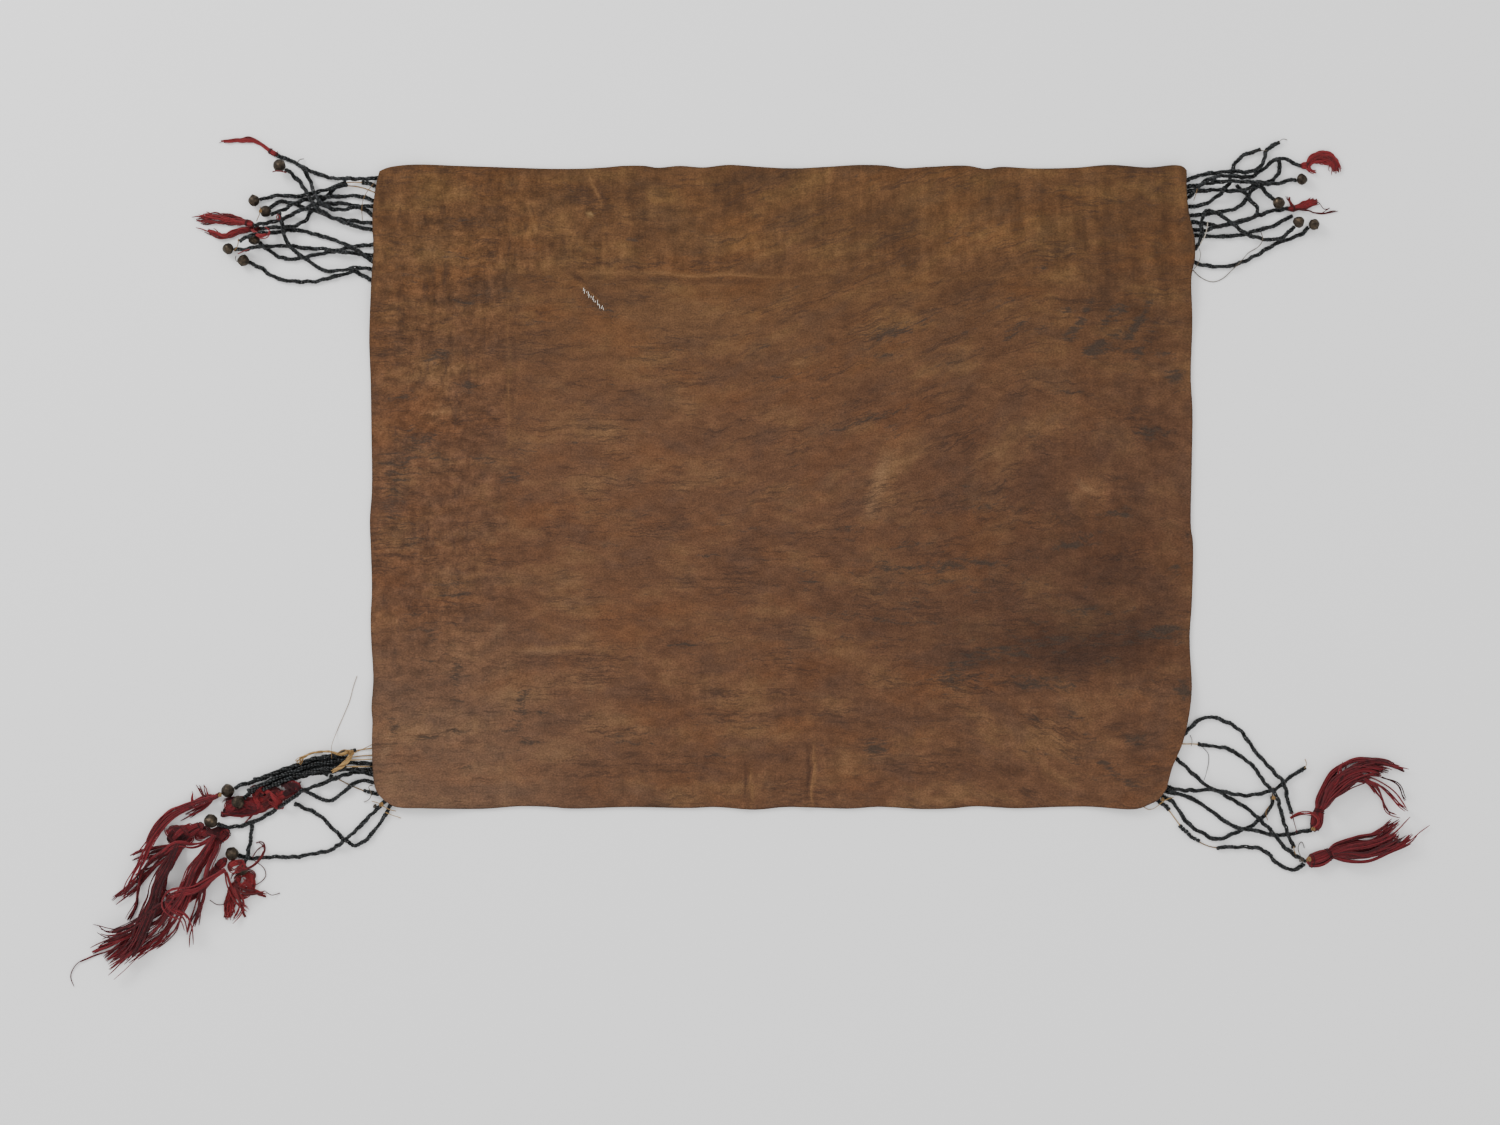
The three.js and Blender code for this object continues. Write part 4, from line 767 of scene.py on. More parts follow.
class Ground:
    """All that lies on the ground so far. Each new piece lies over what it crosses."""

    def __init__(self) -> None:
        """Starts with bare ground."""
        self.blocks: list[tuple[str, np.ndarray]] = []
        self.ends: dict[str, Stations] = {}
        self.bells: dict[str, BellPlace] = {}

    def rest(self, discs: np.ndarray, beside: set[str], gap: float = GAP) -> np.ndarray:
        """Finds how high each disc comes to lie.

        Args:
            discs: rows of x, y and radius.
            beside: names of pieces that the new one may lie beside.
            gap: air between two pieces.

        Returns:
            One height for each disc, in mm.
        """
        blocks = [block for name, block in self.blocks if name not in beside]
        if not blocks:
            return np.zeros(len(discs))
        laid = np.vstack(blocks)
        apart = np.hypot(discs[:, None, 0] - laid[None, :, 0], discs[:, None, 1] - laid[None, :, 1])
        near = apart <= discs[:, None, 2] + laid[None, :, 2] + SIDE_CLEARANCE
        return np.where(near, laid[None, :, 3] + gap, 0.0).max(axis=1)

    def drape(self, stations: Stations, name: str, beside: set[str], hung: BellPlace | None = None,
              gap: float = GAP) -> None:
        """Gives each station its base height, so that the piece lies on all that is laid."""
        discs = stations.discs()
        if hung is not None:
            last = len(stations.share) - 2
            row = [hung.middle[0], hung.middle[1], hung.rim, last, 0.0, 0.0]
            discs = np.vstack([discs, row])
        heights = self.rest(discs, beside | {name}, gap)
        needed = np.zeros(len(stations.share))
        for offset in (0, 1):
            np.maximum.at(needed, discs[:, 3].astype(int) + offset, heights)
        apart = np.hypot(*(stations.plan[:, None] - stations.plan[None, :]).transpose(2, 0, 1))
        stations.base = np.maximum(0.0, (needed[None, :] - STEEPEST * apart).max(axis=1))

    def lay(self, stations: Stations, name: str) -> None:
        """Adds a piece to what lies on the ground."""
        self.blocks.append((name, stations.discs()[:, [0, 1, 2, 5]]))

    def lay_string(self, piece: BeadString, strip: list[np.ndarray]) -> Stations:
        """Lays a string of beads, and its bell if it has one.

        Args:
            piece: the string.
            strip: the line that its root is sewn to.

        Returns:
            The string's stations, one step apart.
        """
        route = Stations.along(piece.route)
        edge = route.plan[0].copy()
        bell = None
        if piece.bell:
            middle = route.plan[-1].copy()
            bell = BellPlace(middle, piece.bell * BELL_FLANGE, piece.bell)
            seat = piece.bell + BELL_LUG + SEAT_GAP
            far = np.hypot(*(route.plan - middle).T) > seat + SEAT_CLEAR
            route = route.kept(np.flatnonzero(far))
            way = route.plan[-1] - middle
            tip = middle + way / np.hypot(*way) * seat
            route = extended(route, tip, at_start=False)
        if not piece.beside:
            route = extended(route, nearest_on(strip, edge), at_start=True)
        bare = np.array([any(a <= s <= b for a, b in piece.bare) for s in route.share])
        route.width = np.where(bare, THREAD, STRING_WIDTH)
        route.height = np.where(bare, THREAD, STRING_HEIGHT)
        self.drape(route, piece.name, {piece.beside} if piece.beside else set(), bell)
        if not piece.beside:
            run = np.hypot(*(route.plan - edge).T) - ROOT_LEVEL
            limit = np.maximum(0.0, run) * ROOT_SLOPE
            limit[0] = 0.0
            route.base = np.minimum(route.base, limit)
        shape = route.simplified()
        self.lay(shape, piece.name)
        self.ends[piece.name] = shape.kept([-1])
        if bell is not None:
            self.lay_bell(piece, bell)
            route.plan[-1] = bell.middle + bell.towards * (piece.bell + LAST_BEAD)
        return route

    def lay_bell(self, piece: BeadString, bell: BellPlace) -> None:
        """Lays the bell of a string that is already laid."""
        tip = self.ends[piece.name]
        lowest = float(tip.base[0]) + STRING_HEIGHT - 2 * bell.rim + LUG_REACH
        disc = np.array([[bell.middle[0], bell.middle[1], bell.rim]])
        bell.base = max(float(self.rest(disc, {piece.name})[0]), lowest)
        way = tip.plan[0] - bell.middle
        bell.towards = way / np.hypot(*way)
        bell.lug_height = float(tip.base[0]) + STRING_HEIGHT / 2
        self.bells[piece.name] = bell
        top = bell.base + 2 * bell.rim
        self.blocks.append((piece.name + "_bell", np.array([[*bell.middle, bell.rim, top]])))

    def lay_tassel(self, piece: Tassel) -> tuple[Stations, list[Stations]]:
        """Lays a tassel's head and its bundles.

        Returns:
            The head's stations, and each bundle's.
        """
        beside = {piece.on, piece.on + "_bell"}
        head = Stations.along(piece.head.route)
        # A head swells from its knot and narrows a little at its neck
        swell = np.sin(math.pi * (0.2 + 0.55 * head.share))
        head.width = piece.head.width * swell
        head.height = piece.head.height * swell
        self.drape(head, piece.name, beside)
        self.seat(head, piece)
        self.lay(head, piece.name + "_head")
        bundles = []
        for i, bundle in enumerate(piece.bundles):
            stations = Stations.along(bundle.route, bundle.widths, bundle.height)
            self.drape(stations, piece.name + str(i), beside | {piece.name + "_head"})
            self.lay(stations.simplified(), piece.name + str(i))
            bundles.append(stations)
        return head, bundles

    def lay_tie(self, piece: Tie) -> Stations:
        """Lays a tie across the strings that it holds."""
        stations = Stations.along(piece.route, piece.widths, TIE)
        self.drape(stations, piece.name, set())
        self.lay(stations.simplified(), piece.name)
        return stations

    def seat(self, head: Stations, piece: Tassel) -> None:
        """Brings the start of a tassel's head to the end or side of its string, or to its bell."""
        head.width[0] = STRING_WIDTH / 2
        head.height[0] = STRING_HEIGHT / 2
        bell = self.bells.get(piece.on)
        if bell is not None and not piece.side:
            out = head.plan[0] - bell.middle
            head.plan[0] = bell.middle + out / np.hypot(*out) * (bell.rim + SEAT_GAP / 4)
            head.base[0] = bell.base + bell.rim - head.height[0] / 2
            return
        out = head.plan[1] - head.plan[0]
        head.plan[0] = head.plan[0] + out / np.hypot(*out) * 2 * SEAT_GAP
        head.base[0] = max(head.base[0], float(self.ends[piece.on].base[0]) + 1)


def extended(route: Stations, spot: np.ndarray, at_start: bool) -> Stations:
    """Adds a station at the start or the end of a route."""
    where = 0 if at_start else len(route.share)
    share = 0.0 if at_start else 1.0
    empty = np.zeros(len(route.share) + 1)
    plan = np.insert(route.plan, where, spot, axis=0)
    return Stations(plan, np.insert(route.share, where, share), empty, empty.copy(), empty.copy())


def nearest_on(line: list[np.ndarray], point: np.ndarray) -> np.ndarray:
    """Gives the point of a line of points that lies nearest to a point."""
    best = line[0]
    for a, b in zip(line, line[1:]):
        along = b - a
        share = float(np.clip((point - a) @ along / (along @ along), 0.0, 1.0))
        foot = a + along * share
        if np.hypot(*(foot - point)) < np.hypot(*(best - point)):
            best = foot
    return best


def distances(points: np.ndarray, line: list[np.ndarray]) -> np.ndarray:
    """Gives the distance of each point to a line of points."""
    found = np.full(len(points), np.inf)
    for a, b in zip(line, line[1:]):
        along = b - a
        share = np.clip((points - a) @ along / (along @ along), 0.0, 1.0)
        found = np.minimum(found, np.hypot(*(points - a - share[:, None] * along).T))
    return found


def lift_at(points: np.ndarray) -> np.ndarray:
    """Gives how far the sheet is off the ground at plan points, in mm."""
    lift = np.zeros(len(points))
    for corner in CORNERS:
        apart = distances(points, corner.line())
        height = STRING_HEIGHT + STRIP_CLEARANCE
        lift = np.maximum(lift, height * (1 - smoothstep(apart, LIFT_FLAT, LIFT_END)))
    for fold in FOLDS:
        apart = distances(points, [place(fold.start), place(fold.end)])
        lift = lift + fold.height * (1 - smoothstep(apart, 0, fold.width))
    return lift


def border_at(points: np.ndarray, slope: float = BORDER_STEP / 2) -> np.ndarray:
    """Gives 1 in the sheet's border and 0 inside it, with a soft step."""
    low = place((BORDER_INNER["left"], BORDER_INNER["bottom"]))
    high = place((BORDER_INNER["right"], BORDER_INNER["top"]))
    inside = np.minimum(np.minimum(points[:, 0] - low[0], high[0] - points[:, 0]),
                        np.minimum(points[:, 1] - low[1], high[1] - points[:, 1]))
    return 1 - smoothstep(inside, -slope, slope)


def linear(hex_colour: str) -> tuple[float, float, float, float]:
    """Turns an sRGB hex colour to a linear one."""
    parts = (int(hex_colour[i:i + 2], 16) / 255 for i in (1, 3, 5))
    return (*(c / 12.92 if c <= 0.04045 else ((c + 0.055) / 1.055) ** 2.4 for c in parts), 1.0)


def add_node(tree: Tree, kind: str, settings: dict | None = None,
             inputs: dict | None = None) -> bpy.types.Node:
    """Adds a node to a tree.

    Args:
        tree: the material's or the modifier's tree.
        kind: the node's type.
        settings: properties of the node.
        inputs: for a socket's name or number, a value or the output that feeds it.

    Returns:
        The node.
    """
    node = tree.nodes.new(kind)
    for key, value in (settings or {}).items():
        setattr(node, key, value)
    feed(tree, node, inputs or {})
    return node


def node_out(tree: Tree, kind: str, settings: dict | None = None, inputs: dict | None = None) -> Socket:
    """Adds a node as add_node does, and gives its first output."""
    return add_node(tree, kind, settings, inputs).outputs[0]


def feed(tree: Tree, node: bpy.types.Node, inputs: dict) -> None:
    """Sets each of a node's inputs to a value or to the output that feeds it."""
    for key, value in inputs.items():
        if isinstance(value, Socket):
            tree.links.new(value, node.inputs[key])
        else:
            node.inputs[key].default_value = value


def ramp(tree: Tree, factor: Socket,
         stops: list[tuple[float, str]]) -> Socket:
    """Maps a value to colours, given as places from 0 to 1 with sRGB hex colours."""
    node = add_node(tree, "ShaderNodeValToRGB", inputs={"Fac": factor})
    elements = node.color_ramp.elements
    while len(elements) < len(stops):
        elements.new(0.5)
    for element, (at, colour) in zip(elements, stops):
        element.position = at
        element.color = linear(colour)
    return node.outputs["Color"]


def mixed(tree: Tree, factor: Socket | float, first: object, second: object,
          blend: str = "MIX") -> Socket:
    """Mixes two colours."""
    node = add_node(tree, "ShaderNodeMix", {"data_type": "RGBA", "blend_type": blend},
                    {0: factor, 6: first, 7: second})
    return node.outputs[2]


def scaled(tree: Tree, value: Socket, low: float, high: float,
           to_low: float = 0.0, to_high: float = 1.0) -> Socket:
    """Maps a range of values softly to another range."""
    node = add_node(tree, "ShaderNodeMapRange", {"interpolation_type": "SMOOTHSTEP"},
                    {0: value, 1: low, 2: high, 3: to_low, 4: to_high})
    return node.outputs[0]


def new_material(name: str) -> tuple[Material, Tree, bpy.types.Node]:
    """Makes a material with an empty tree and a surface shader.

    Returns:
        The material, its tree and its surface shader.
    """
    material = bpy.data.materials.new(name)
    material.use_nodes = True
    tree = material.node_tree
    tree.nodes.clear()
    surface = add_node(tree, "ShaderNodeBsdfPrincipled")
    add_node(tree, "ShaderNodeOutputMaterial", inputs={"Surface": surface.outputs["BSDF"]})
    return material, tree, surface


@dataclass(frozen=True)
class SmokedHide:
    """Smoked hide, its napped flesh side up: it is matt, warm brown, with darker veins and a soft nap."""

    mid: str = "#593d2a"
    light: str = "#6d5136"
    dark: str = "#442d20"
    grey: str = "#493529"
    ruddy: str = "#5f3c24"
    # Painted shade: the colours of crease lines and fold lines in the border
    crease: str = "#2c1c15"
    shadow: str = "#35261f"
    # Smoke, and painted shade along the fold lines and the crease by the mend
    smoke_and_fold_shade: str = "#2c1d17"
    bare: str = "#8f7152"
    yellow: str = "#f6f7e2"
    pale: str = "#84705f"
    stain: str = "#362d26"
    vein: str = "#2e221c"
    # Painted highlight and painted shadow of the ridges
    ridge_highlight: str = "#86623f"
    ridge_shadow: str = "#2f1f18"
    rim: str = "#221610"

    def material(self) -> Material:
        """Makes the material. It reads the sheet's own attributes, which are painted by patches; some of them
        are painted shade or painted highlight along fold lines and ridges.
        """
        material, tree, surface = new_material("smoked_hide")
        spot = add_node(tree, "ShaderNodeTexCoord").outputs["Object"]
        axes = add_node(tree, "ShaderNodeSeparateXYZ", inputs={0: spot}).outputs
        read = {
            key: add_node(tree, "ShaderNodeAttribute", {"attribute_name": key}).outputs["Fac"]
            for key in ("tone", "stain", "ridge", "border", "ripple", "flow", "rim")
        }
        # Everything is shaken by up to 3 mm, so that no two marks run quite parallel
        flowing = node_out(tree, "ShaderNodeCombineXYZ", inputs={0: axes[0], 1: read["flow"]})
        shaking = add_node(tree, "ShaderNodeTexNoise", inputs={"Vector": spot, "Scale": 70.0, "Detail": 4.0})
        flowing = node_out(tree, "ShaderNodeVectorMath", {"operation": "MULTIPLY_ADD"},
                           {0: shaking.outputs["Color"], 1: (0.009, 0.009, 0.0), 2: flowing})

        def grain(wide: float, high: float, detail: float, along: Socket = flowing,
                  seed: float = 0.0) -> Socket:
            """Gives a noise whose spots have a width and height in mm, along the flow or another way."""
            placed = add_node(tree, "ShaderNodeMapping", inputs={
                0: along, "Location": (seed, seed, seed), "Scale": (1000 / wide, 1000 / high, 1.0)})
            texture = add_node(tree, "ShaderNodeTexNoise", inputs={
                "Vector": placed.outputs[0], "Scale": 1.0, "Detail": detail, "Roughness": 0.62})
            return texture.outputs["Fac"]

        def worked(operation: str, *values: Socket | float) -> Socket:
            """Works out a sum on values."""
            return node_out(tree, "ShaderNodeMath", {"operation": operation}, dict(enumerate(values)))

        def contour(value: Socket, width: float) -> Socket:
            """Gives thin lines where a noise crosses its middle value."""
            return scaled(tree, worked("ABSOLUTE", worked("SUBTRACT", value, 0.5)), 0.0, width, 1.0, 0.0)

        def tinted(under: Socket, share: Socket, tint: str, blend: str = "MIX") -> Socket:
            """Mixes a share of one of the hide's own colours over what is there."""
            return mixed(tree, share, under, linear(tint), blend)

        def on_border(value: Socket, strength: float) -> Socket:
            """Keeps a pattern to the border, at a strength."""
            return worked("MULTIPLY", value, worked("MULTIPLY", read["border"], strength))

        def greys(value: Socket, low: float, dark: str, light: str) -> Socket:
            """Maps a noise to greys, evenly about its middle value."""
            return ramp(tree, value, [(low, dark), (1 - low, light)])

        # Clouds 50 to 110 mm wide, where the smoke took unevenly: darker, lighter, greyer and ruddier
        clouds = ramp(tree, grain(80, 36, 7), [(0.3, self.dark), (0.5, self.mid), (0.7, self.light)])
        colour = mixed(tree, 0.7, linear(self.mid), clouds)
        greyer = scaled(tree, grain(50, 26, 5, seed=5.0), 0.46, 0.66, 0.0, 0.5)
        colour = tinted(colour, greyer, self.grey)
        ruddier = scaled(tree, grain(110, 50, 4, seed=8.0), 0.48, 0.7, 0.0, 0.5)
        colour = tinted(colour, ruddier, self.ruddy)
        # The border is pressed over rows of beads: painted light and shade of those rows, about 12 mm apart,
        # over the real bump from the same noise
        rows = grain(12, 10, 3, spot, 9.0)
        pressed_row_shading = mixed(tree, 1.0, colour, greys(rows, 0.34, "#959595", "#dedede"), "OVERLAY")
        colour = mixed(tree, worked("MULTIPLY", read["border"], 0.66), colour, pressed_row_shading)
        # Painted shade in crease lines and fold lines across the border, 10 to 15 mm apart
        crease_shade_lines = contour(grain(15, 46, 5, spot, 21.0), 0.035)
        colour = tinted(colour, on_border(crease_shade_lines, 0.2), self.crease)
        fold_shade = scaled(tree, grain(10, 32, 6, spot, 25.0), 0.53, 0.7)
        colour = tinted(colour, on_border(fold_shade, 0.5), self.shadow)
        # Painted light and shade of faint ripples across the border, 15 mm apart
        ripples = grain(15, 70, 4, spot, 13.0)
        ripple_shading = mixed(tree, 1.0, colour, greys(ripples, 0.34, "#a2a2a2", "#d2d2d2"), "OVERLAY")
        colour = mixed(tree, worked("MULTIPLY", read["ripple"], 0.8), colour, ripple_shading)
        # Darker and lighter patches, each placed one by one
        # The darker patches are partly smoke and partly painted shade along the fold lines and the crease by
        # the mend
        colour = tinted(colour, scaled(tree, read["tone"], 0.0, -1.2, 0.0, 0.75), self.smoke_and_fold_shade)
        colour = tinted(colour, scaled(tree, read["tone"], 0.0, 1.2, 0.0, 0.7), self.bare)
        # Mottling: soft lights and darks 9 to 15 mm across, all over
        mottling = greys(grain(15, 9, 6, spot, 17.0), 0.34, "#a0a0a0", "#d4d4d4")
        colour = mixed(tree, 0.6, colour, mottling, "OVERLAY")
        # The upper part is yellower, and the lower left paler and greyer
        upper = scaled(tree, axes[1], 0.0, 0.3)
        colour = tinted(colour, upper, self.yellow, "MULTIPLY")
        left = scaled(tree, axes[0], -0.08, -0.36, 0.0, 0.14)
        lower = worked("MULTIPLY", left, scaled(tree, axes[1], -0.08, -0.28))
        colour = tinted(colour, lower, self.pale)
        # Old stains: grey strokes with dry ragged edges, that soaked in along the flow
        dry = worked("MULTIPLY", grain(8, 2.0, 6, seed=31.0), 0.45)
        soaked = worked("MULTIPLY_ADD", grain(30, 5, 8, seed=3.0), 0.55, dry)
        ragged = worked("MULTIPLY_ADD", read["stain"], 0.195, soaked)
        smudges = scaled(tree, ragged, 0.56, 0.7, 0.0, 0.82)
        colour = tinted(colour, smudges, self.stain)
        # Veins: faint long lines along the flow, 8 mm apart and here and there only
        where = scaled(tree, grain(70, 26, 3, seed=11.0), 0.44, 0.62, 0.0, 0.55)
        veins = contour(grain(95, 8, 4, seed=7.0), 0.04)
        colour = tinted(colour, worked("MULTIPLY", veins, where), self.vein)
        # Painted light and shade where the beadwork below ends and along the fold lines: a painted highlight
        # with a painted shadow beside it
        colour = tinted(colour, scaled(tree, read["ridge"], 0.0, 1.0), self.ridge_highlight)
        colour = tinted(colour, scaled(tree, read["ridge"], 0.0, -1.0), self.ridge_shadow)
        # Nap: specks 1.5 to 2 mm across, drawn coarser than the real ones so that they show
        nap = grain(2.0, 1.5, 5, spot)
        fibres = greys(nap, 0.32, "#909090", "#e0e0e0")
        colour = mixed(tree, 0.7, colour, fibres, "OVERLAY")
        colour = tinted(colour, read["rim"], self.rim)
        # Hide has an IOR near 1.5, and its nap scatters light so that almost no gloss is left
        relief = add_node(tree, "ShaderNodeBump", inputs={"Strength": 0.5, "Distance": 0.0005, "Height": nap})
        pressed_rows = add_node(tree, "ShaderNodeBump", inputs={
            "Strength": read["border"], "Distance": 0.0028, "Height": rows, "Normal": relief.outputs[0]})
        feed(tree, surface, {"Base Color": colour, "Normal": pressed_rows.outputs[0], "Roughness": 0.9,
                             "IOR": 1.48, "Specular IOR Level": 0.2, "Sheen Weight": 0.05})
        return material


@dataclass(frozen=True)
class BlackGlass:
    """Drawn black glass, cut into beads: nearly black, with small sharp glints and a grey bloom."""

    dark: str = "#070808"
    worn: str = "#24282a"

    def material(self) -> Material:
        """Makes the material. It reads each bead's tint."""
        material, tree, surface = new_material("black_glass_beads")
        tint = add_node(tree, "ShaderNodeAttribute", {"attribute_name": "tint"}).outputs["Fac"]
        spot = add_node(tree, "ShaderNodeTexCoord").outputs["Object"]
        dust = add_node(tree, "ShaderNodeTexNoise", inputs={"Vector": spot, "Scale": 260.0, "Detail": 3.0})
        bloom = add_node(tree, "ShaderNodeMath", {"operation": "MULTIPLY"}, {0: dust.outputs[0], 1: tint})
        colour = ramp(tree, bloom.outputs[0], [(0.1, self.dark), (0.75, self.worn)])
        # Glass has an IOR of 1.52, and dust dulls its gloss
        dull = scaled(tree, dust.outputs[0], 0.3, 0.7, 0.14, 0.34)
        feed(tree, surface, {"Base Color": colour, "Roughness": dull, "IOR": 1.52,
                             "Specular IOR Level": 0.32})
        return material


@dataclass(frozen=True)
class SpunFibre:
    """A spun thread or yarn: matt, with a soft sheen."""

    name: str
    dark: str
    mid: str
    light: str
    sheen: float = 0.3

    def material(self) -> Material:
        """Makes the material. It reads each strand's tint, which in the tassels holds painted shade on the
        lower strands.
        """
        material, tree, surface = new_material(self.name)
        tint = add_node(tree, "ShaderNodeAttribute", {"attribute_name": "tint"}).outputs["Fac"]
        spot = add_node(tree, "ShaderNodeTexCoord").outputs["Object"]
        # Hairs and dirt vary over 3 mm along a strand
        hairs = add_node(tree, "ShaderNodeTexNoise", inputs={"Vector": spot, "Scale": 330.0, "Detail": 3.0})
        shade = add_node(tree, "ShaderNodeMath", {"operation": "MULTIPLY_ADD"},
                         {0: hairs.outputs[0], 1: 0.5, 2: tint})
        colour = ramp(tree, scaled(tree, shade.outputs[0], 0.1, 1.35),
                      [(0.08, self.dark), (0.5, self.mid), (0.92, self.light)])
        relief = add_node(tree, "ShaderNodeBump", inputs={
            "Strength": 0.6, "Distance": 0.0004, "Height": hairs.outputs[0]})
        feed(tree, surface, {"Base Color": colour, "Normal": relief.outputs[0], "Roughness": 0.85,
                             "IOR": 1.54, "Specular IOR Level": 0.3, "Sheen Weight": self.sheen})
        return material


@dataclass(frozen=True)
class OldBrass:
    """Stamped sheet brass, dark with age: dull brown metal, with paler rubbed spots."""

    tarnish: str = "#231e1a"
    metal: str = "#6e5c48"

    def material(self) -> Material:
        """Makes the material."""
        material, tree, surface = new_material("old_stamped_brass")
        spot = add_node(tree, "ShaderNodeTexCoord").outputs["Object"]
        # Spots of tarnish 2 to 4 mm across
        spots = add_node(tree, "ShaderNodeTexNoise", inputs={
            "Vector": spot, "Scale": 220.0, "Detail": 5.0, "Roughness": 0.65})
        colour = ramp(tree, spots.outputs[0], [(0.36, self.tarnish), (0.58, "#433a30"), (0.74, self.metal)])
        relief = add_node(tree, "ShaderNodeBump", inputs={
            "Strength": 0.5, "Distance": 0.0004, "Height": spots.outputs[0]})
        rubbed = scaled(tree, spots.outputs[0], 0.35, 0.75, 0.62, 0.36)
        feed(tree, surface, {"Base Color": colour, "Roughness": rubbed, "Normal": relief.outputs[0],
                             "Metallic": 0.85})
        return material


MADDER_WOOL = SpunFibre("madder_wool_yarn", "#180406", "#3b0b11", "#6c171f", 0.05)
SCARLET_WOOL = SpunFibre("scarlet_wool_yarn", "#240607", "#4a0f12", "#751c20", 0.05)
TWINE = SpunFibre("tan_sinew_twine", "#4c361f", "#7d5f37", "#ab8955", 0.1)
PALE_THREAD = SpunFibre("undyed_cotton_thread", "#8d8274", "#c9c0b2", "#e8e2d8", 0.1)
DARK_THREAD = SpunFibre("dark_waxed_thread", "#1f1b18", "#3b342c", "#6d6050", 0.1)


@dataclass
class Strand:
    """A thin round strand: its points in mm, its radius at each in mm, and its tint."""

    points: np.ndarray
    radius: np.ndarray
    tint: float = 0.5


def added(name: str, data: bpy.types.ID) -> Object:
    """Adds an object with its data to the scene."""
    made = bpy.data.objects.new(name, data)
    bpy.context.scene.collection.objects.link(made)
    return made


def baked(piece: Object) -> bpy.types.Mesh:
    """Gives a piece's mesh with its modifiers worked in."""
    return bpy.data.meshes.new_from_object(piece.evaluated_get(bpy.context.evaluated_depsgraph_get()))


def write_numbers(mesh: bpy.types.Mesh, values: dict[str, np.ndarray]) -> None:
    """Writes attributes with one number for each vertex."""
    for key, numbers in values.items():
        data = mesh.attributes.new(key, "FLOAT", "POINT").data
        data.foreach_set("value", np.asarray(numbers, dtype=np.float32))


def tapered(count: int, radius: float) -> np.ndarray:
    """Gives the radii of a strand that gets thinner over its last points."""
    radii = np.full(count, radius)
    radii[-len(STRAND_END):] *= STRAND_END
    return radii


def strand_edges(name: str, strands: list[Strand]) -> Object:
    """Makes an object whose edges follow strands, with their radius and tint as attributes."""
    points = np.vstack([s.points for s in strands])
    thick = np.concatenate([s.radius for s in strands])
    points[:, 2] = np.maximum(points[:, 2], thick)
    edges = []
    start = 0
    for strand in strands:
        count = len(strand.points)
        edges.extend((start + i, start + i + 1) for i in range(count - 1))
        start += count
    mesh = bpy.data.meshes.new(name)
    mesh.from_pydata((points * MM).tolist(), edges, [])
    tint = np.concatenate([np.full(len(s.points), s.tint) for s in strands])
    write_numbers(mesh, {"thickness": thick * MM, "tint": tint})
    return added(name, mesh)


class GrownPiece:
    """A Geometry Nodes tree that grows a mesh from the edges of an object."""

    title = "grown_piece"

    def __init__(self) -> None:
        """Makes the tree with its named inputs."""
        self.tree = bpy.data.node_groups.new(self.title, "GeometryNodeTree")
        self.tree.is_modifier = True
        self.tree.interface.new_socket("Geometry", in_out="OUTPUT", socket_type="NodeSocketGeometry")
        self.sockets = {}
        for name, kind in (("Geometry", "Geometry"), *self.inputs(), ("Material", "Material")):
            socket = self.tree.interface.new_socket(name, in_out="INPUT", socket_type=f"NodeSocket{kind}")
            self.sockets[name] = socket.identifier
        given = add_node(self.tree, "NodeGroupInput").outputs
        curve = node_out(self.tree, "GeometryNodeMeshToCurve", inputs={0: given["Geometry"]})
        grown = self.shape(curve, given)
        whole = node_out(self.tree, "GeometryNodeRealizeInstances", inputs={0: grown})
        smooth = node_out(self.tree, "GeometryNodeSetShadeSmooth", inputs={0: whole})
        dressed = node_out(self.tree, "GeometryNodeSetMaterial",
                           inputs={0: smooth, "Material": given["Material"]})
        add_node(self.tree, "NodeGroupOutput", inputs={0: dressed})

    def inputs(self) -> list[tuple[str, str]]:
        """Gives the names and kinds of the tree's own inputs."""
        return []

    def shape(self, curve: Socket, given: bpy.types.NodeInputs) -> Socket:
        """Builds the middle of the tree, from the curve to the grown geometry."""
        return curve

    def thickness(self) -> Socket:
        """Reads the strand's radius."""
        return node_out(self.tree, "GeometryNodeInputNamedAttribute", {"data_type": "FLOAT"},
                        {"Name": "thickness"})

    def grow(self, name: str, strands: list[Strand], material: Material,
             **values: float) -> Object:
        """Grows a piece along strands.

        Args:
            name: the piece's name.
            strands: the strands that it follows.
            material: its material.
            values: the tree's own inputs, with spaces written as underscores.

        Returns:
            A plain mesh object.
        """
        carrier = strand_edges(name + "_edges", strands)
        modifier = carrier.modifiers.new("grow", "NODES")
        modifier.node_group = self.tree
        modifier[self.sockets["Material"]] = material
        for key, value in values.items():
            modifier[self.sockets[key.replace("_", " ")]] = value
        mesh = baked(carrier)
        mesh.name = name
        bpy.data.objects.remove(carrier)
        return added(name, mesh)


class SweptYarn(GrownPiece):
    """Round yarn along each strand, closed at both ends."""

    title = "swept_yarn"

    def inputs(self) -> list[tuple[str, str]]:
        """Gives the names and kinds of the tree's own inputs."""
        return [("Sides", "Int")]

    def shape(self, curve: Socket, given: bpy.types.NodeInputs) -> Socket:
        """Sweeps a circle along the curve, at the strand's radius."""
        section = node_out(self.tree, "GeometryNodeCurvePrimitiveCircle",
                           inputs={"Resolution": given["Sides"], "Radius": 1.0})
        return node_out(self.tree, "GeometryNodeCurveToMesh", inputs={
            "Curve": curve, "Profile Curve": section, "Scale": self.thickness(), "Fill Caps": True})


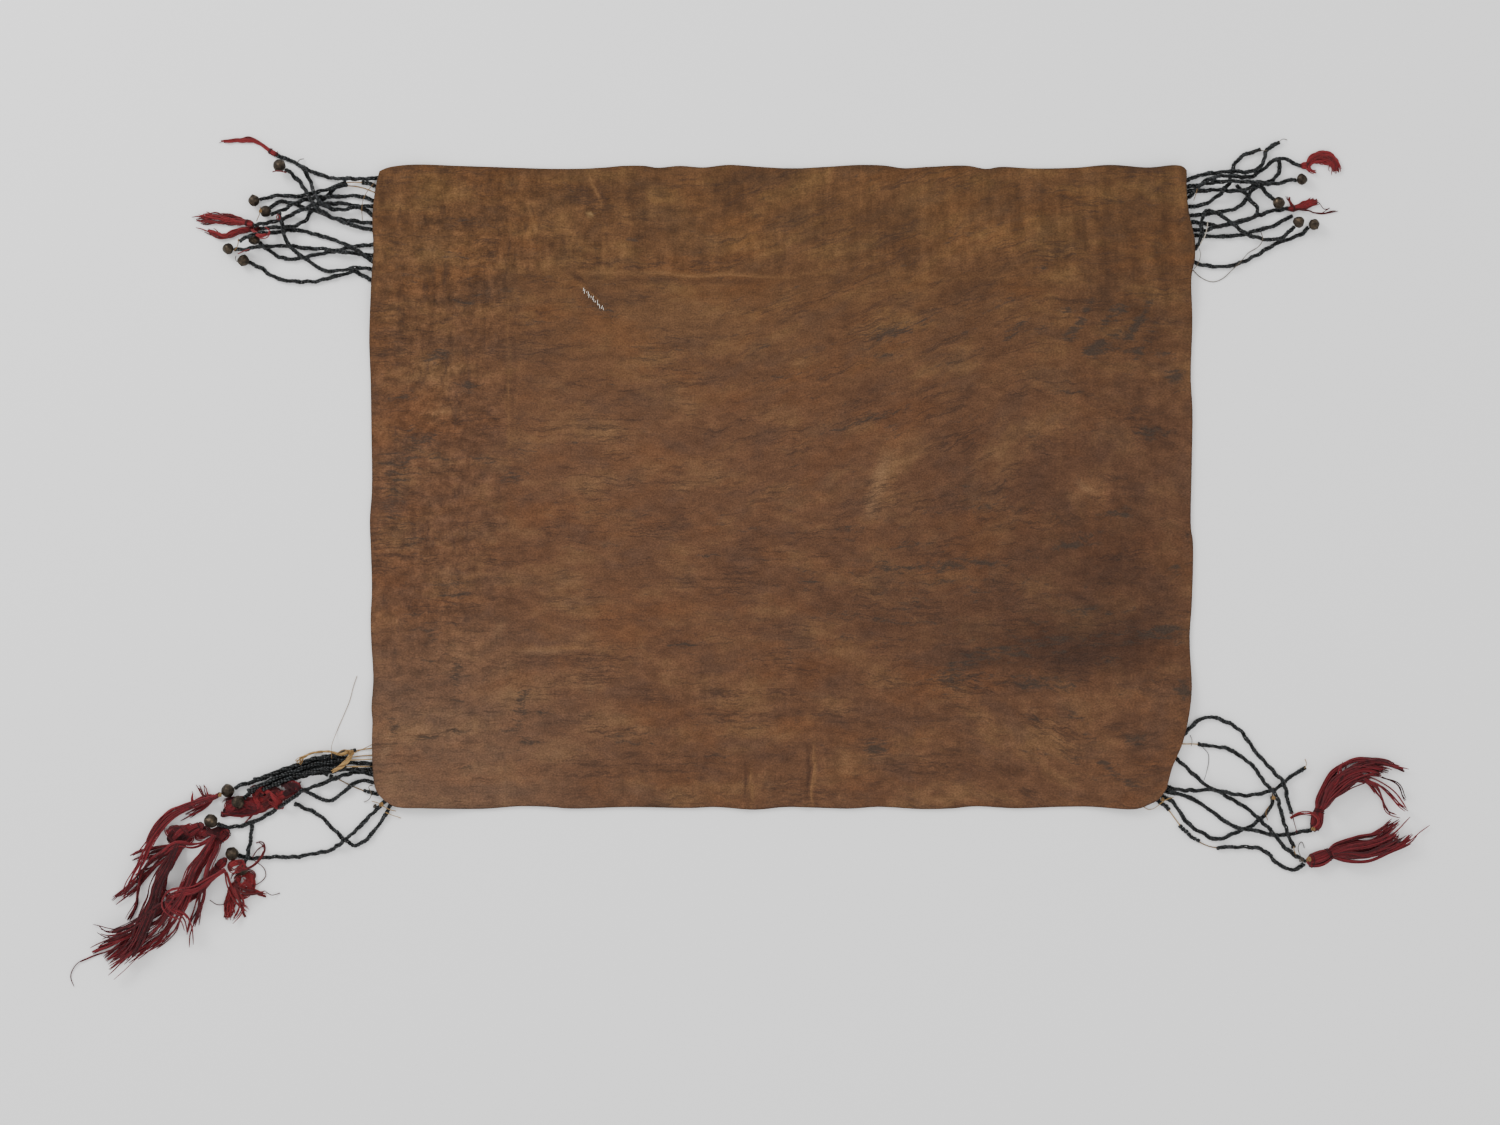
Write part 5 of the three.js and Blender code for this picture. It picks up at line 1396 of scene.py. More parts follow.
class StrungBeads(GrownPiece):
    """Beads threaded one after another along each strand."""

    title = "strung_beads"

    def inputs(self) -> list[tuple[str, str]]:
        """Gives the names and kinds of the tree's own inputs."""
        return [("Pitch", "Float"), ("Sides", "Int"), ("Seed", "Int")]

    def barrel(self, given: bpy.types.NodeInputs) -> Socket:
        """Makes one bead, 2 wide and 2 long: a short tube with cut ends, a little narrower there."""
        tree = self.tree
        tube = node_out(tree, "GeometryNodeMeshCylinder", {"fill_type": "NGON"}, {
            "Vertices": given["Sides"], "Side Segments": 3, "Radius": 1.0, "Depth": 2.0})
        spot = node_out(tree, "GeometryNodeInputPosition")
        axes = add_node(tree, "ShaderNodeSeparateXYZ", inputs={0: spot}).outputs
        off = node_out(tree, "ShaderNodeMath", {"operation": "ABSOLUTE"}, {0: axes[2]})
        narrow = node_out(tree, "ShaderNodeMapRange", inputs={0: off, 1: 0.4, 2: 1.0, 3: 1.0, 4: 0.74})
        scale = node_out(tree, "ShaderNodeCombineXYZ", inputs={0: narrow, 1: narrow, 2: 1.0})
        drawn = node_out(tree, "ShaderNodeVectorMath", {"operation": "MULTIPLY"}, {0: spot, 1: scale})
        return node_out(tree, "GeometryNodeSetPosition", inputs={"Geometry": tube, "Position": drawn})

    def shape(self, curve: Socket, given: bpy.types.NodeInputs) -> Socket:
        """Puts a bead at each pitch, turned along the thread, each a little different in size."""
        tree = self.tree
        even = node_out(tree, "GeometryNodeResampleCurve", {"mode": "LENGTH"},
                        {"Curve": curve, "Length": given["Pitch"]})
        bead = self.barrel(given)
        along = node_out(tree, "GeometryNodeInputTangent")
        turned = add_node(tree, "FunctionNodeAlignRotationToVector", {"axis": "Z"}, {"Vector": along})
        varied = add_node(tree, "FunctionNodeRandomValue", {"data_type": "FLOAT"},
                          {2: 0.84, 3: 1.1, "Seed": given["Seed"]}).outputs[1]
        wide = add_node(tree, "ShaderNodeMath", {"operation": "MULTIPLY"}, {0: self.thickness(), 1: varied})
        long = add_node(tree, "ShaderNodeMath", {"operation": "MULTIPLY"}, {0: given["Pitch"], 1: 0.49})
        size = add_node(tree, "ShaderNodeCombineXYZ",
                        inputs={0: wide.outputs[0], 1: wide.outputs[0], 2: long.outputs[0]})
        beads = node_out(tree, "GeometryNodeInstanceOnPoints", inputs={
            "Points": even, "Instance": bead, "Rotation": turned.outputs[0], "Scale": size.outputs[0]})
        shade = add_node(tree, "FunctionNodeRandomValue", {"data_type": "FLOAT"},
                         {2: 0.1, 3: 1.0, "Seed": given["Seed"]}).outputs[1]
        return node_out(tree, "GeometryNodeStoreNamedAttribute", {"data_type": "FLOAT", "domain": "INSTANCE"},
                        {"Geometry": beads, "Name": "tint", "Value": shade})


def finished(piece: Object, slot: str, *nodes: str) -> Object:
    """Names what a piece rides on, and hides the solids that it stands for."""
    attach(piece, "root")
    if nodes:
        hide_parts(*nodes)
    LOG.info("%s: %d faces", piece.name, len(piece.data.polygons))
    return piece


@dataclass
class Course:
    """A piece's middle line in space, at even short steps, with its width and height there, in mm."""

    middle: np.ndarray
    width: np.ndarray
    height: np.ndarray
    share: np.ndarray

    @classmethod
    def over(cls, stations: Stations, step: float, soften: float) -> "Course":
        """Resamples stations at even steps, and softens the rise and fall over a length."""
        runs = np.concatenate([[0.0], np.cumsum(np.hypot(*np.diff(stations.plan, axis=0).T))])
        count = max(4, rounded(runs[-1] / step))
        targets = np.linspace(0.0, runs[-1], count + 1)
        x, y, width, height, base = (
            np.interp(targets, runs, v)
            for v in (*stations.plan.T, stations.width, stations.height, stations.base)
        )
        window = max(1, rounded(soften / step)) | 1
        weights = np.hanning(window + 2)[1:-1]
        weights = weights / weights.sum()
        for values in (base, width, height, x, y):
            half = window // 2
            wide = np.pad(values, half, mode="reflect", reflect_type="odd")
            values[:] = np.convolve(wide, weights, mode="valid")
        base = np.maximum(base, 0.0)
        middle = np.stack([x, y, base + height / 2], axis=1)
        return cls(middle, width, height, targets / runs[-1])

    def frames(self) -> tuple[np.ndarray, np.ndarray]:
        """Gives the level sideways direction and the upward one at each point."""
        along = np.gradient(self.middle, axis=0)
        along /= np.linalg.norm(along, axis=1)[:, None]
        side = np.cross([0.0, 0.0, 1.0], along)
        side /= np.linalg.norm(side, axis=1)[:, None]
        return side, np.cross(along, side)

    def runs(self) -> np.ndarray:
        """Gives the length from the start to each point."""
        return np.concatenate([[0.0], np.cumsum(np.linalg.norm(np.diff(self.middle, axis=0), axis=1))])


def stretches(chosen: np.ndarray) -> list[np.ndarray]:
    """Gives the runs of neighbouring indices at which a row of flags is set."""
    index = np.flatnonzero(chosen)
    if not len(index):
        return []
    return np.split(index, np.flatnonzero(np.diff(index) > 1) + 1)


@dataclass
class BeadedStrings:
    """All strings of beads of one corner: three threads of beads, laid up around a core."""

    corner: Corner
    routes: list[Stations]
    bead_radius: float = 1.24
    lay: float = 36.0
    pitch: float = 3.4
    plies: int = 3
    core_radius: float = 0.62
    stitch_radius: float = 1.5
    stitch_height: float = 2.1
    stitch_apart: float = 1.4

    def threads(self) -> tuple[list[Strand], list[Strand]]:
        """Works out the bead threads and the bare cores.

        Returns:
            The strands that carry beads, and the cores of all strings.
        """
        beaded, cores = [], []
        random = np.random.default_rng(11)
        for number, stations in enumerate(self.routes):
            course = Course.over(stations, 1.2, 6.0)
            side, up = course.frames()
            full = course.width > (STRING_WIDTH + THREAD) / 2
            runs = course.runs()
            turn = random.random() * math.tau
            lay = self.lay * random.uniform(0.75, 1.3)
            for bare in stretches(~full):
                points = course.middle[max(0, bare[0] - 2):bare[-1] + 3]
                radius = np.full(len(points), self.core_radius)
                cores.append(Strand(points, radius, random.uniform(0.3, 0.9)))
            jog = 0.55 * np.sin(runs / 3.4 + turn) * np.sin(runs / 9.0 + number)
            middle = course.middle + side * jog[:, None]
            for k in range(self.plies):
                angle = runs / lay * math.tau + turn + k * math.tau / self.plies
                wobble = 0.92 + 0.2 * np.sin(runs / (3.1 + k) + 2.0 * k + number)
                out = self.bead_radius * 1.1 * wobble
                line = middle + side * (out * np.cos(angle))[:, None] + up * (out * np.sin(angle))[:, None]
                line[:, 2] = np.maximum(line[:, 2], 1.5 * self.bead_radius)
                for beads in stretches(full):
                    if len(beads) > 2:
                        swell = 1 + 0.08 * np.sin(runs[beads] / 6.7 + number)
                        beaded.append(Strand(line[beads], self.bead_radius * swell))
        return beaded, cores

    def strips(self) -> list[Strand]:
        """Gives the rows of stitches that hold the strings under the sheet's edge."""
        line = self.corner.line()
        radius = np.full(len(line), self.stitch_radius)
        return [
            Strand(np.array([(p[0] + shift, p[1], self.stitch_height) for p in line]), radius, 0.3)
            for shift in (-self.stitch_apart, self.stitch_apart)
        ]

    def build(self, beads: StrungBeads, yarn: SweptYarn, glass: Material,
              thread: Material) -> list[Object]:
        """Makes the strings' beads and their cores."""
        beaded, cores = self.threads()
        key = self.corner.key
        strung = beads.grow(f"strung_beads_{key}", beaded, glass, Pitch=self.pitch * MM, Sides=6, Seed=5)
        finished(strung, "beads", f"bead_strings_{key}")
        core = yarn.grow(f"string_cores_{key}", cores + self.strips(), thread, Sides=5)
        finished(core, "beads")
        return [strung, core]


@dataclass
class WoolTassel:
    """One tassel: yarn that is folded through its knot, bound at the neck, and falls in locks."""

    piece: Tassel
    head: Stations
    bundles: list[Stations]
    seed: int
    curl: float = PLAIN_CURL
    strand: float = 0.72
    dense: float = 3.0
    gather: float = 0.58
    broken: float = 0.14
    frayed: float = 0.15
    neck: float = 0.55
    cord: float = 0.48
    turns: tuple[float, ...] = (0.12, 0.2, 0.86, 0.94)

    def joined(self, bundle: Stations) -> Stations:
        """Gives one row of stations through the head and along a bundle."""
        rest = bundle.kept(np.arange(min(2, len(bundle.share) - 2), len(bundle.share)))
        narrow = self.head.width.copy()
        narrow[-1] = self.piece.head.width * self.neck
        parts = [
            (self.head.plan, self.head.share * 0.0, narrow, self.head.height, self.head.base),
            (rest.plan, rest.share, rest.width, rest.height, rest.base),
        ]
        return Stations(*(np.concatenate(pair) for pair in zip(*parts)))

    def strands(self) -> list[Strand]:
        """Works out every strand of the tassel."""
        random = np.random.default_rng(self.seed)
        found = []
        for bundle, stations in zip(self.piece.bundles, self.bundles):
            course = Course.over(self.joined(stations), 2.4, 7.0)
            side, _ = course.frames()
            wide = max(bundle.widths)
            thick = (0.8 if bundle.rows == 1 else 1.3) * max(1.0, self.curl)
            count = max(3, rounded(self.dense * wide * thick) - 4)
            for number in range(count):
                found.append(self.one_strand(course, side, bundle, random, longest=number == 0))
        return found

    def one_strand(self, course: Course, side: np.ndarray, bundle: Bundle,
                   random: np.random.Generator, longest: bool) -> Strand:
        """Works out one strand, which keeps to its own lock and strays a little at its end."""
        runs = course.runs()
        fall = runs / runs[-1]
        across = random.uniform(-0.5, 0.5)
        column = math.floor((across + 0.5) * bundle.columns)
        level = random.uniform(0.05, 0.95)
        own = column * 2.4 + math.floor(level * bundle.rows) * 1.3 + self.seed
        lock = (column + 0.5 + 0.25 * math.sin(own * 3.0)) / bundle.columns - 0.5
        length = 0.9 + 0.1 * math.sin(own * 5.0) + random.uniform(-0.07, 0.03)
        if random.random() < self.broken:
            length *= random.uniform(0.4, 0.9)
        if longest:
            length = 1.0
        gather = smoothstep(fall, 0.3, 0.85) * (self.gather - 0.2 * min(1.0, self.curl - PLAIN_CURL))
        phase = random.uniform(0, 6.3, 4)
        pace = random.uniform(0.8, 1.25) / self.curl
        wander = np.sin(runs / (13 * pace) + phase[0]) + 0.45 * np.sin(runs / (4.4 * pace) + phase[1])
        inside = across + (lock - across) * gather
        room = np.maximum(course.width - 2 * self.strand, 0.8)
        fan = 1.02 + 0.1 * smoothstep(fall, 0.55, 1.0)
        wide = max(bundle.widths)
        loose = (0.3 + 0.5 * smoothstep(fall, 0.1, 0.5)) * self.curl * min(1.0, 0.25 + wide / 12)
        strays = random.normal(0, 1.0) * min(2.2, 0.4 + wide / 8)
        fray = smoothstep(fall / length, 0.76, 1.0) * strays
        fray *= 1.6 if random.random() < self.frayed else 0.6
        sway = smoothstep(fall, 0.2, 0.6) * np.sin(runs / 14 + own) * min(1.6, wide / 7)
        shift = inside * room * fan + wander * loose + fray + sway
        crown = np.sqrt(np.clip(1 - (2 * inside) ** 2 * 0.8, 0.05, 1))
        thick = np.maximum(course.height - 2 * self.strand, 0.0)
        rise = (level - 0.5) * thick * crown + 0.3 * np.sin(runs / 5 + phase[2])
        line = course.middle + side * shift[:, None]
        line[:, 2] += rise
        kept = min(len(line), max(4, rounded(len(line) * length)))
        radius = tapered(kept, self.strand * random.uniform(0.75, 1.1))
        # Painted shade: strands that lie lower in the bundle get a darker tint; the rest of the tint varies
        # at random
        tint = 0.22 * random.random() + 0.35 * level + 0.36 + 0.16 * math.sin(own * 7.0)
        return Strand(line[:kept], radius, tint)

    def binding(self) -> list[Strand]:
        """Gives the turns of yarn around the tassel's neck."""
        course = Course.over(self.head, 1.0, 3.0)
        side, up = course.frames()
        found = []
        for at in self.turns:
            i = min(int(at * len(course.middle)), len(course.middle) - 1)
            angle = np.linspace(0, math.tau, 17)
            wide = course.width[i] / 2 + 0.2
            high = course.height[i] / 2 + 0.1
            ring = course.middle[i] + side[i] * (wide * np.cos(angle))[:, None]
            ring = ring + up[i] * (high * np.sin(angle))[:, None]
            ring[:, 2] = np.maximum(ring[:, 2], 0.5)
            found.append(Strand(ring, np.full(len(ring), self.cord), 0.3))
        return found

    def build(self, yarn: SweptYarn, wool: Material) -> Object:
        """Makes the tassel."""
        made = yarn.grow(self.piece.name + "_yarn", self.strands() + self.binding(), wool, Sides=4)
        return finished(made, "wool", self.piece.name)


@dataclass
class TwineTie:
    """A tie of several strands of twine, which open out in a frayed end."""

    piece: Tie
    stations: Stations
    strand: float = 0.45
    count: int = 12

    def build(self, yarn: SweptYarn, twine: Material) -> Object:
        """Makes the tie's strands, which turn about each other and stray at the free end."""
        random = np.random.default_rng(4)
        course = Course.over(self.stations, 1.2, 3.0)
        side, _ = course.frames()
        runs = course.runs()
        free = 1 - smoothstep(runs, 0.0, 16.0)
        found = []
        for number in range(self.count):
            turn = runs / 21 * math.tau + number * math.tau / self.count
            out = np.maximum(course.width / 2 - self.strand * 0.8, 0.4) * random.uniform(0.5, 1.1)
            shift = out * np.cos(turn) + free * random.normal(0, 1.5) + 0.3 * np.sin(runs / 2.7 + number)
            line = course.middle + side * shift[:, None]
            line[:, 2] += (TIE / 2 - self.strand) * np.sin(turn) + 0.5 * free * random.random()
            first = random.integers(0, 5)
            last = len(line) - random.integers(0, 4)
            radius = np.full(last - first, self.strand * random.uniform(0.8, 1.2))
            found.append(Strand(line[first:last], radius, random.uniform(0.25, 1.0)))
        made = yarn.grow(self.piece.name + "_strands", found, twine, Sides=5)
        return finished(made, "twine", self.piece.name)


@dataclass
class Bell:
    """A round bell of two stamped halves, with a seam, a slot and a wire lug."""

    name: str
    spot: BellPlace
    wall: float = 0.55
    slot: float = 1.4
    slot_end: float = -0.35
    dent: float = 0.75
    lug_reach: float = 1.5
    lug_rise: float = 1.2
    wire: float = 0.42

    def ball(self) -> bmesh.types.BMesh:
        """Makes the hollow ball, with its axis along +X towards the lug, in mm."""
        radius = self.spot.radius
        shape = bmesh.new()
        bmesh.ops.create_uvsphere(shape, u_segments=28, v_segments=16, radius=radius)
        bmesh.ops.rotate(shape, verts=shape.verts, matrix=Matrix.Rotation(math.pi / 2, 3, "Y"))
        offset = Vector(self.spot.middle.tolist() + [0.0])
        for vert in shape.verts:
            off_axis = math.hypot(vert.co.y, vert.co.z)
            seam = math.exp(-((vert.co.x / 0.45) ** 2)) * (self.spot.rim - radius)
            if off_axis > 1e-6:
                vert.co.y *= 1 + seam / off_axis
                vert.co.z *= 1 + seam / off_axis
            vert.co += vert.co.normalized() * (self.dent * (noise.noise((vert.co + offset) * 0.2) - 0.5))
        end = self.slot_end * radius
        half = self.slot / 2
        up, ahead = (0, 0, 1), (1, 0, 0)
        for spot, normal in (((0, 0, -half), up), ((0, 0, half), up), ((end, 0, 0), ahead)):
            everything = shape.verts[:] + shape.edges[:] + shape.faces[:]
            bmesh.ops.bisect_plane(shape, geom=everything, plane_co=spot, plane_no=normal)
        middles = {face: face.calc_center_median() for face in shape.faces}
        gone = [face for face, spot in middles.items() if abs(spot.z) < half and spot.x < end]
        bmesh.ops.delete(shape, geom=gone, context="FACES")
        return shape

    def build(self, yarn: SweptYarn, brass: Material) -> Object:
        """Makes the bell where it lies."""
        shape = self.ball()
        towards = self.spot.towards
        rolled = 0.75 * math.sin(3.7 * self.spot.middle[0])
        turn = Matrix.Rotation(math.atan2(towards[1], towards[0]), 4, "Z") @ Matrix.Rotation(rolled, 4, "X")
        middle = Vector((*self.spot.middle.tolist(), self.spot.base + self.spot.rim))
        laid = Matrix.Scale(MM, 4) @ Matrix.Translation(middle) @ turn
        bmesh.ops.transform(shape, matrix=laid, verts=shape.verts)
        bmesh.ops.recalc_face_normals(shape, faces=shape.faces)
        mesh = bpy.data.meshes.new(self.name + "_brass")
        shape.to_mesh(mesh)
        shape.free()
        made = added(self.name + "_brass", mesh)
        wall = made.modifiers.new("wall", "SOLIDIFY")
        wall.thickness = self.wall * MM
        wall.offset = -1.0
        whole = baked(made)
        made.modifiers.clear()
        made.data = whole
        self.add_lug(made, yarn, brass)
        made.data.materials.clear()
        made.data.materials.append(brass)
        made.data.shade_smooth()
        return finished(made, "bell_brass", self.name)

    def add_lug(self, made: Object, yarn: SweptYarn, brass: Material) -> None:
        """Joins a loop of wire to the bell, on the side of its string."""
        towards = np.array([*self.spot.towards, 0.0])
        lowest = self.spot.base + LUG_REACH
        highest = self.spot.base + 2 * self.spot.rim - LUG_REACH
        height = float(np.clip(self.spot.lug_height, lowest, highest))
        fall = abs(height - self.spot.base - self.spot.rim)
        out = math.sqrt(max(self.spot.radius ** 2 - fall ** 2, 1.0))
        middle = np.array([*self.spot.middle, height]) + towards * (out + 0.5)
        angle = np.linspace(0, math.tau, 15)
        ring = middle + np.outer(self.lug_reach * np.cos(angle), towards)
        ring += np.outer(self.lug_rise * np.sin(angle), [0, 0, 1.0])
        wire = yarn.grow(self.name + "_lug", [Strand(ring, np.full(15, self.wire))], brass, Sides=6)
        with bpy.context.temp_override(active_object=made, selected_editable_objects=[made, wire],
                                       selected_objects=[made, wire], object=made):
            bpy.ops.object.join()


@dataclass
class LeatherSheet:
    """The hide: one closed sheet, thicker in its border, where the beadwork below shows through."""

    cell: float = 3.5
    edge_steps: tuple[float, ...] = (0.0, 0.7, 1.8, 3.6)
    round_below: tuple[float, ...] = (0.34, 0.1, 0.0)
    round_above: tuple[float, ...] = (0.34, 0.08, 0.0)
    rim_dark: tuple[float, ...] = (0.5, 0.35, 0.12, 0.04, 0.0)
    bump: float = 0.8
    seed: int = 3

    def sides(self) -> dict[str, SmoothLine]:
        """Gives the four sides as smooth lines: top and bottom run right, left and right run down."""
        loop = [place(p) for side in OUTLINE.values() for p in side]
        ends = {"tl": (380, 172), "tr": (1186, 171), "br": (1166, 788), "bl": (386, 801)}
        near = {
            name: int(np.argmin([np.hypot(*(p - place(spot))) for p in loop]))
            for name, spot in ends.items()
        }

        def part(start: int, end: int) -> list[np.ndarray]:
            """Gives the loop's points from one to another, clockwise."""
            count = (end - start) % len(loop) + 1
            return [loop[(start + i) % len(loop)] for i in range(count)]

        return {
            "top": SmoothLine(part(near["tl"], near["tr"])),
            "right": SmoothLine(part(near["tr"], near["br"])),
            "bottom": SmoothLine(part(near["br"], near["bl"])[::-1]),
            "left": SmoothLine(part(near["bl"], near["tl"])[::-1]),
        }

    def shares(self, length: float) -> np.ndarray:
        """Gives the grid's places along a side, as shares: even, but close together at both edges."""
        rim = np.array(self.edge_steps)
        count = rounded((length - 2 * rim[-1]) / self.cell)
        middle = np.linspace(rim[-1], length - rim[-1], count + 1)
        return np.concatenate([rim[:-1], middle, length - rim[:-1][::-1]]) / length

    def grid(self) -> tuple[np.ndarray, int, int]:
        """Gives the plan points of the sheet's grid, which follows its outline.

        Returns:
            The points in mm, and the numbers of columns and rows.
        """
        sides = self.sides()
        u = self.shares(sides["top"].lengths[-1])
        v = self.shares(sides["left"].lengths[-1])
        line = {}
        for name, shares in (("top", u), ("bottom", u), ("left", v), ("right", v)):
            side = sides[name]
            at = np.interp(shares * side.lengths[-1], side.lengths, side.shares)
            line[name] = np.array([side.at(t) for t in at])
        top, bottom, left, right = (line[k] for k in ("top", "bottom", "left", "right"))
        uu, vv = u[None, :, None], v[:, None, None]
        points = (1 - vv) * top[None] + vv * bottom[None] + (1 - uu) * left[:, None] + uu * right[:, None]
        corners = ((1 - uu) * (1 - vv) * top[0] + uu * (1 - vv) * top[-1]
                   + (1 - uu) * vv * bottom[0] + uu * vv * bottom[-1])
        return (points - corners).reshape(-1, 2), len(u), len(v)

    def relief(self, points: np.ndarray) -> np.ndarray:
        """Gives the small unevenness of the top, in mm."""
        border = border_at(points, 9.0)
        bumps = np.array([noise.noise(Vector((x / 11, y / 13, 2.0))) for x, y in points])
        ripples = np.array([noise.noise(Vector((x / 9 + y / 60, y / 34, 7.0))) for x, y in points])
        waves = np.array([noise.noise(Vector((x / 90, y / 60, 4.0))) for x, y in points])
        corner = smoothstep(np.hypot(points[:, 0] + 340, points[:, 1] - 180), 420, 60)
        strength = self.bump * (0.6 + 0.7 * corner)
        return border * strength * (bumps + 0.7 * ripples) + 0.12 * bumps + 0.35 * waves

    def build(self, hide: Material) -> Object:
        """Makes the sheet."""
        points, columns, rows = self.grid()
        column = np.tile(np.arange(columns), rows)
        row = np.repeat(np.arange(rows), columns)
        inward = np.minimum(np.minimum(column, columns - 1 - column), np.minimum(row, rows - 1 - row))
        thick = LEATHER + BORDER_EXTRA * border_at(points)
        bottom = lift_at(points)
        top = bottom + thick + self.relief(points) * np.clip(inward / 3, 0, 1)
        # Both edges of the rim are rounded, over the first rows of the grid
        top = top - np.array(self.round_above)[np.clip(inward, 0, 2)] * thick
        bottom = bottom + np.array(self.round_below)[np.clip(inward, 0, 2)] * thick
        verts = np.vstack([np.column_stack([points, bottom]), np.column_stack([points, top])]) * MM
        mesh = bpy.data.meshes.new("hide_sheet")
        mesh.from_pydata(verts.tolist(), [], self.faces(columns, rows))
        self.write_tones(mesh, np.vstack([points, points]), np.concatenate([inward, inward]))
        mesh.materials.append(hide)
        mesh.shade_smooth()
        return finished(added("hide_sheet", mesh), "leather", "leather_sheet")

    def faces(self, columns: int, rows: int) -> list[tuple[int, int, int, int]]:
        """Gives the faces of the bottom, the top and the rim between them."""
        count = columns * rows
        found = []
        for r in range(rows - 1):
            for c in range(columns - 1):
                a = r * columns + c
                b, d, e = a + 1, a + columns, a + columns + 1
                found.append((a, b, e, d))
                found.append((count + a, count + d, count + e, count + b))
        loop = [c for c in range(columns)]
        loop += [r * columns + columns - 1 for r in range(1, rows)]
        loop += [(rows - 1) * columns + c for c in range(columns - 2, -1, -1)]
        loop += [r * columns for r in range(rows - 2, 0, -1)]
        for a, b in zip(loop, loop[1:] + loop[:1]):
            found.append((a, count + a, count + b, b))
        return found

    def write_tones(self, mesh: bpy.types.Mesh, points: np.ndarray, inward: np.ndarray) -> None:
        """Writes the attributes that the hide's material reads."""
        x, y = points.T
        edge = border_at(points, 10.0)
        # Without a seed, the vector noise starts from the clock
        noise.seed_set(self.seed)
        shake = [noise.noise_vector(Vector((a / 34, b / 34, 1.0)))[:2] for a, b in points]
        shaken = points + 5.0 * np.array(shake)
        rising = 0.32 * smoothstep(y, -160, 150)
        falling = 0.3 * smoothstep(y, -160, -290)
        write_numbers(mesh, {
            "tone": self.patches(points, TONE_AND_FOLD_SHADE_PATCHES),
            "stain": np.clip(self.patches(points, STAINS), 0, 1.2),
            # Painted light and shade of the ridges: a highlight line, less a shadow line shifted a few mm
            # beside it
            "ridge": self.patches(shaken, RIDGE_LIGHT_AND_SHADE) - 0.9 * self.patches(shaken + [-4.0, 5.0], RIDGE_LIGHT_AND_SHADE),
            "border": edge * (0.3 + 0.8 * self.patches(points, PRESSED)),
            "ripple": edge * (0.3 + 0.7 * smoothstep(y, 120, 200)),
            "flow": (y - rising * np.clip(x + 60, 0, 310) + falling * np.clip(x - 180, 0, 120)) * MM,
            "rim": np.array(self.rim_dark)[np.clip(inward, 0, 4)],
        })

    def patches(self, points: np.ndarray, blotches: list[Blotch]) -> np.ndarray:
        """Adds up soft patches at plan points."""
        total = np.zeros(len(points))
        for blotch in blotches:
            off = points - place(blotch.place)
            angle = math.radians(blotch.angle)
            u = off[:, 0] * math.cos(angle) + off[:, 1] * math.sin(angle)
            v = -off[:, 0] * math.sin(angle) + off[:, 1] * math.cos(angle)
            total += blotch.tone * np.exp(-((u / blotch.size[0]) ** 2 + (v / blotch.size[1]) ** 2))
        return total


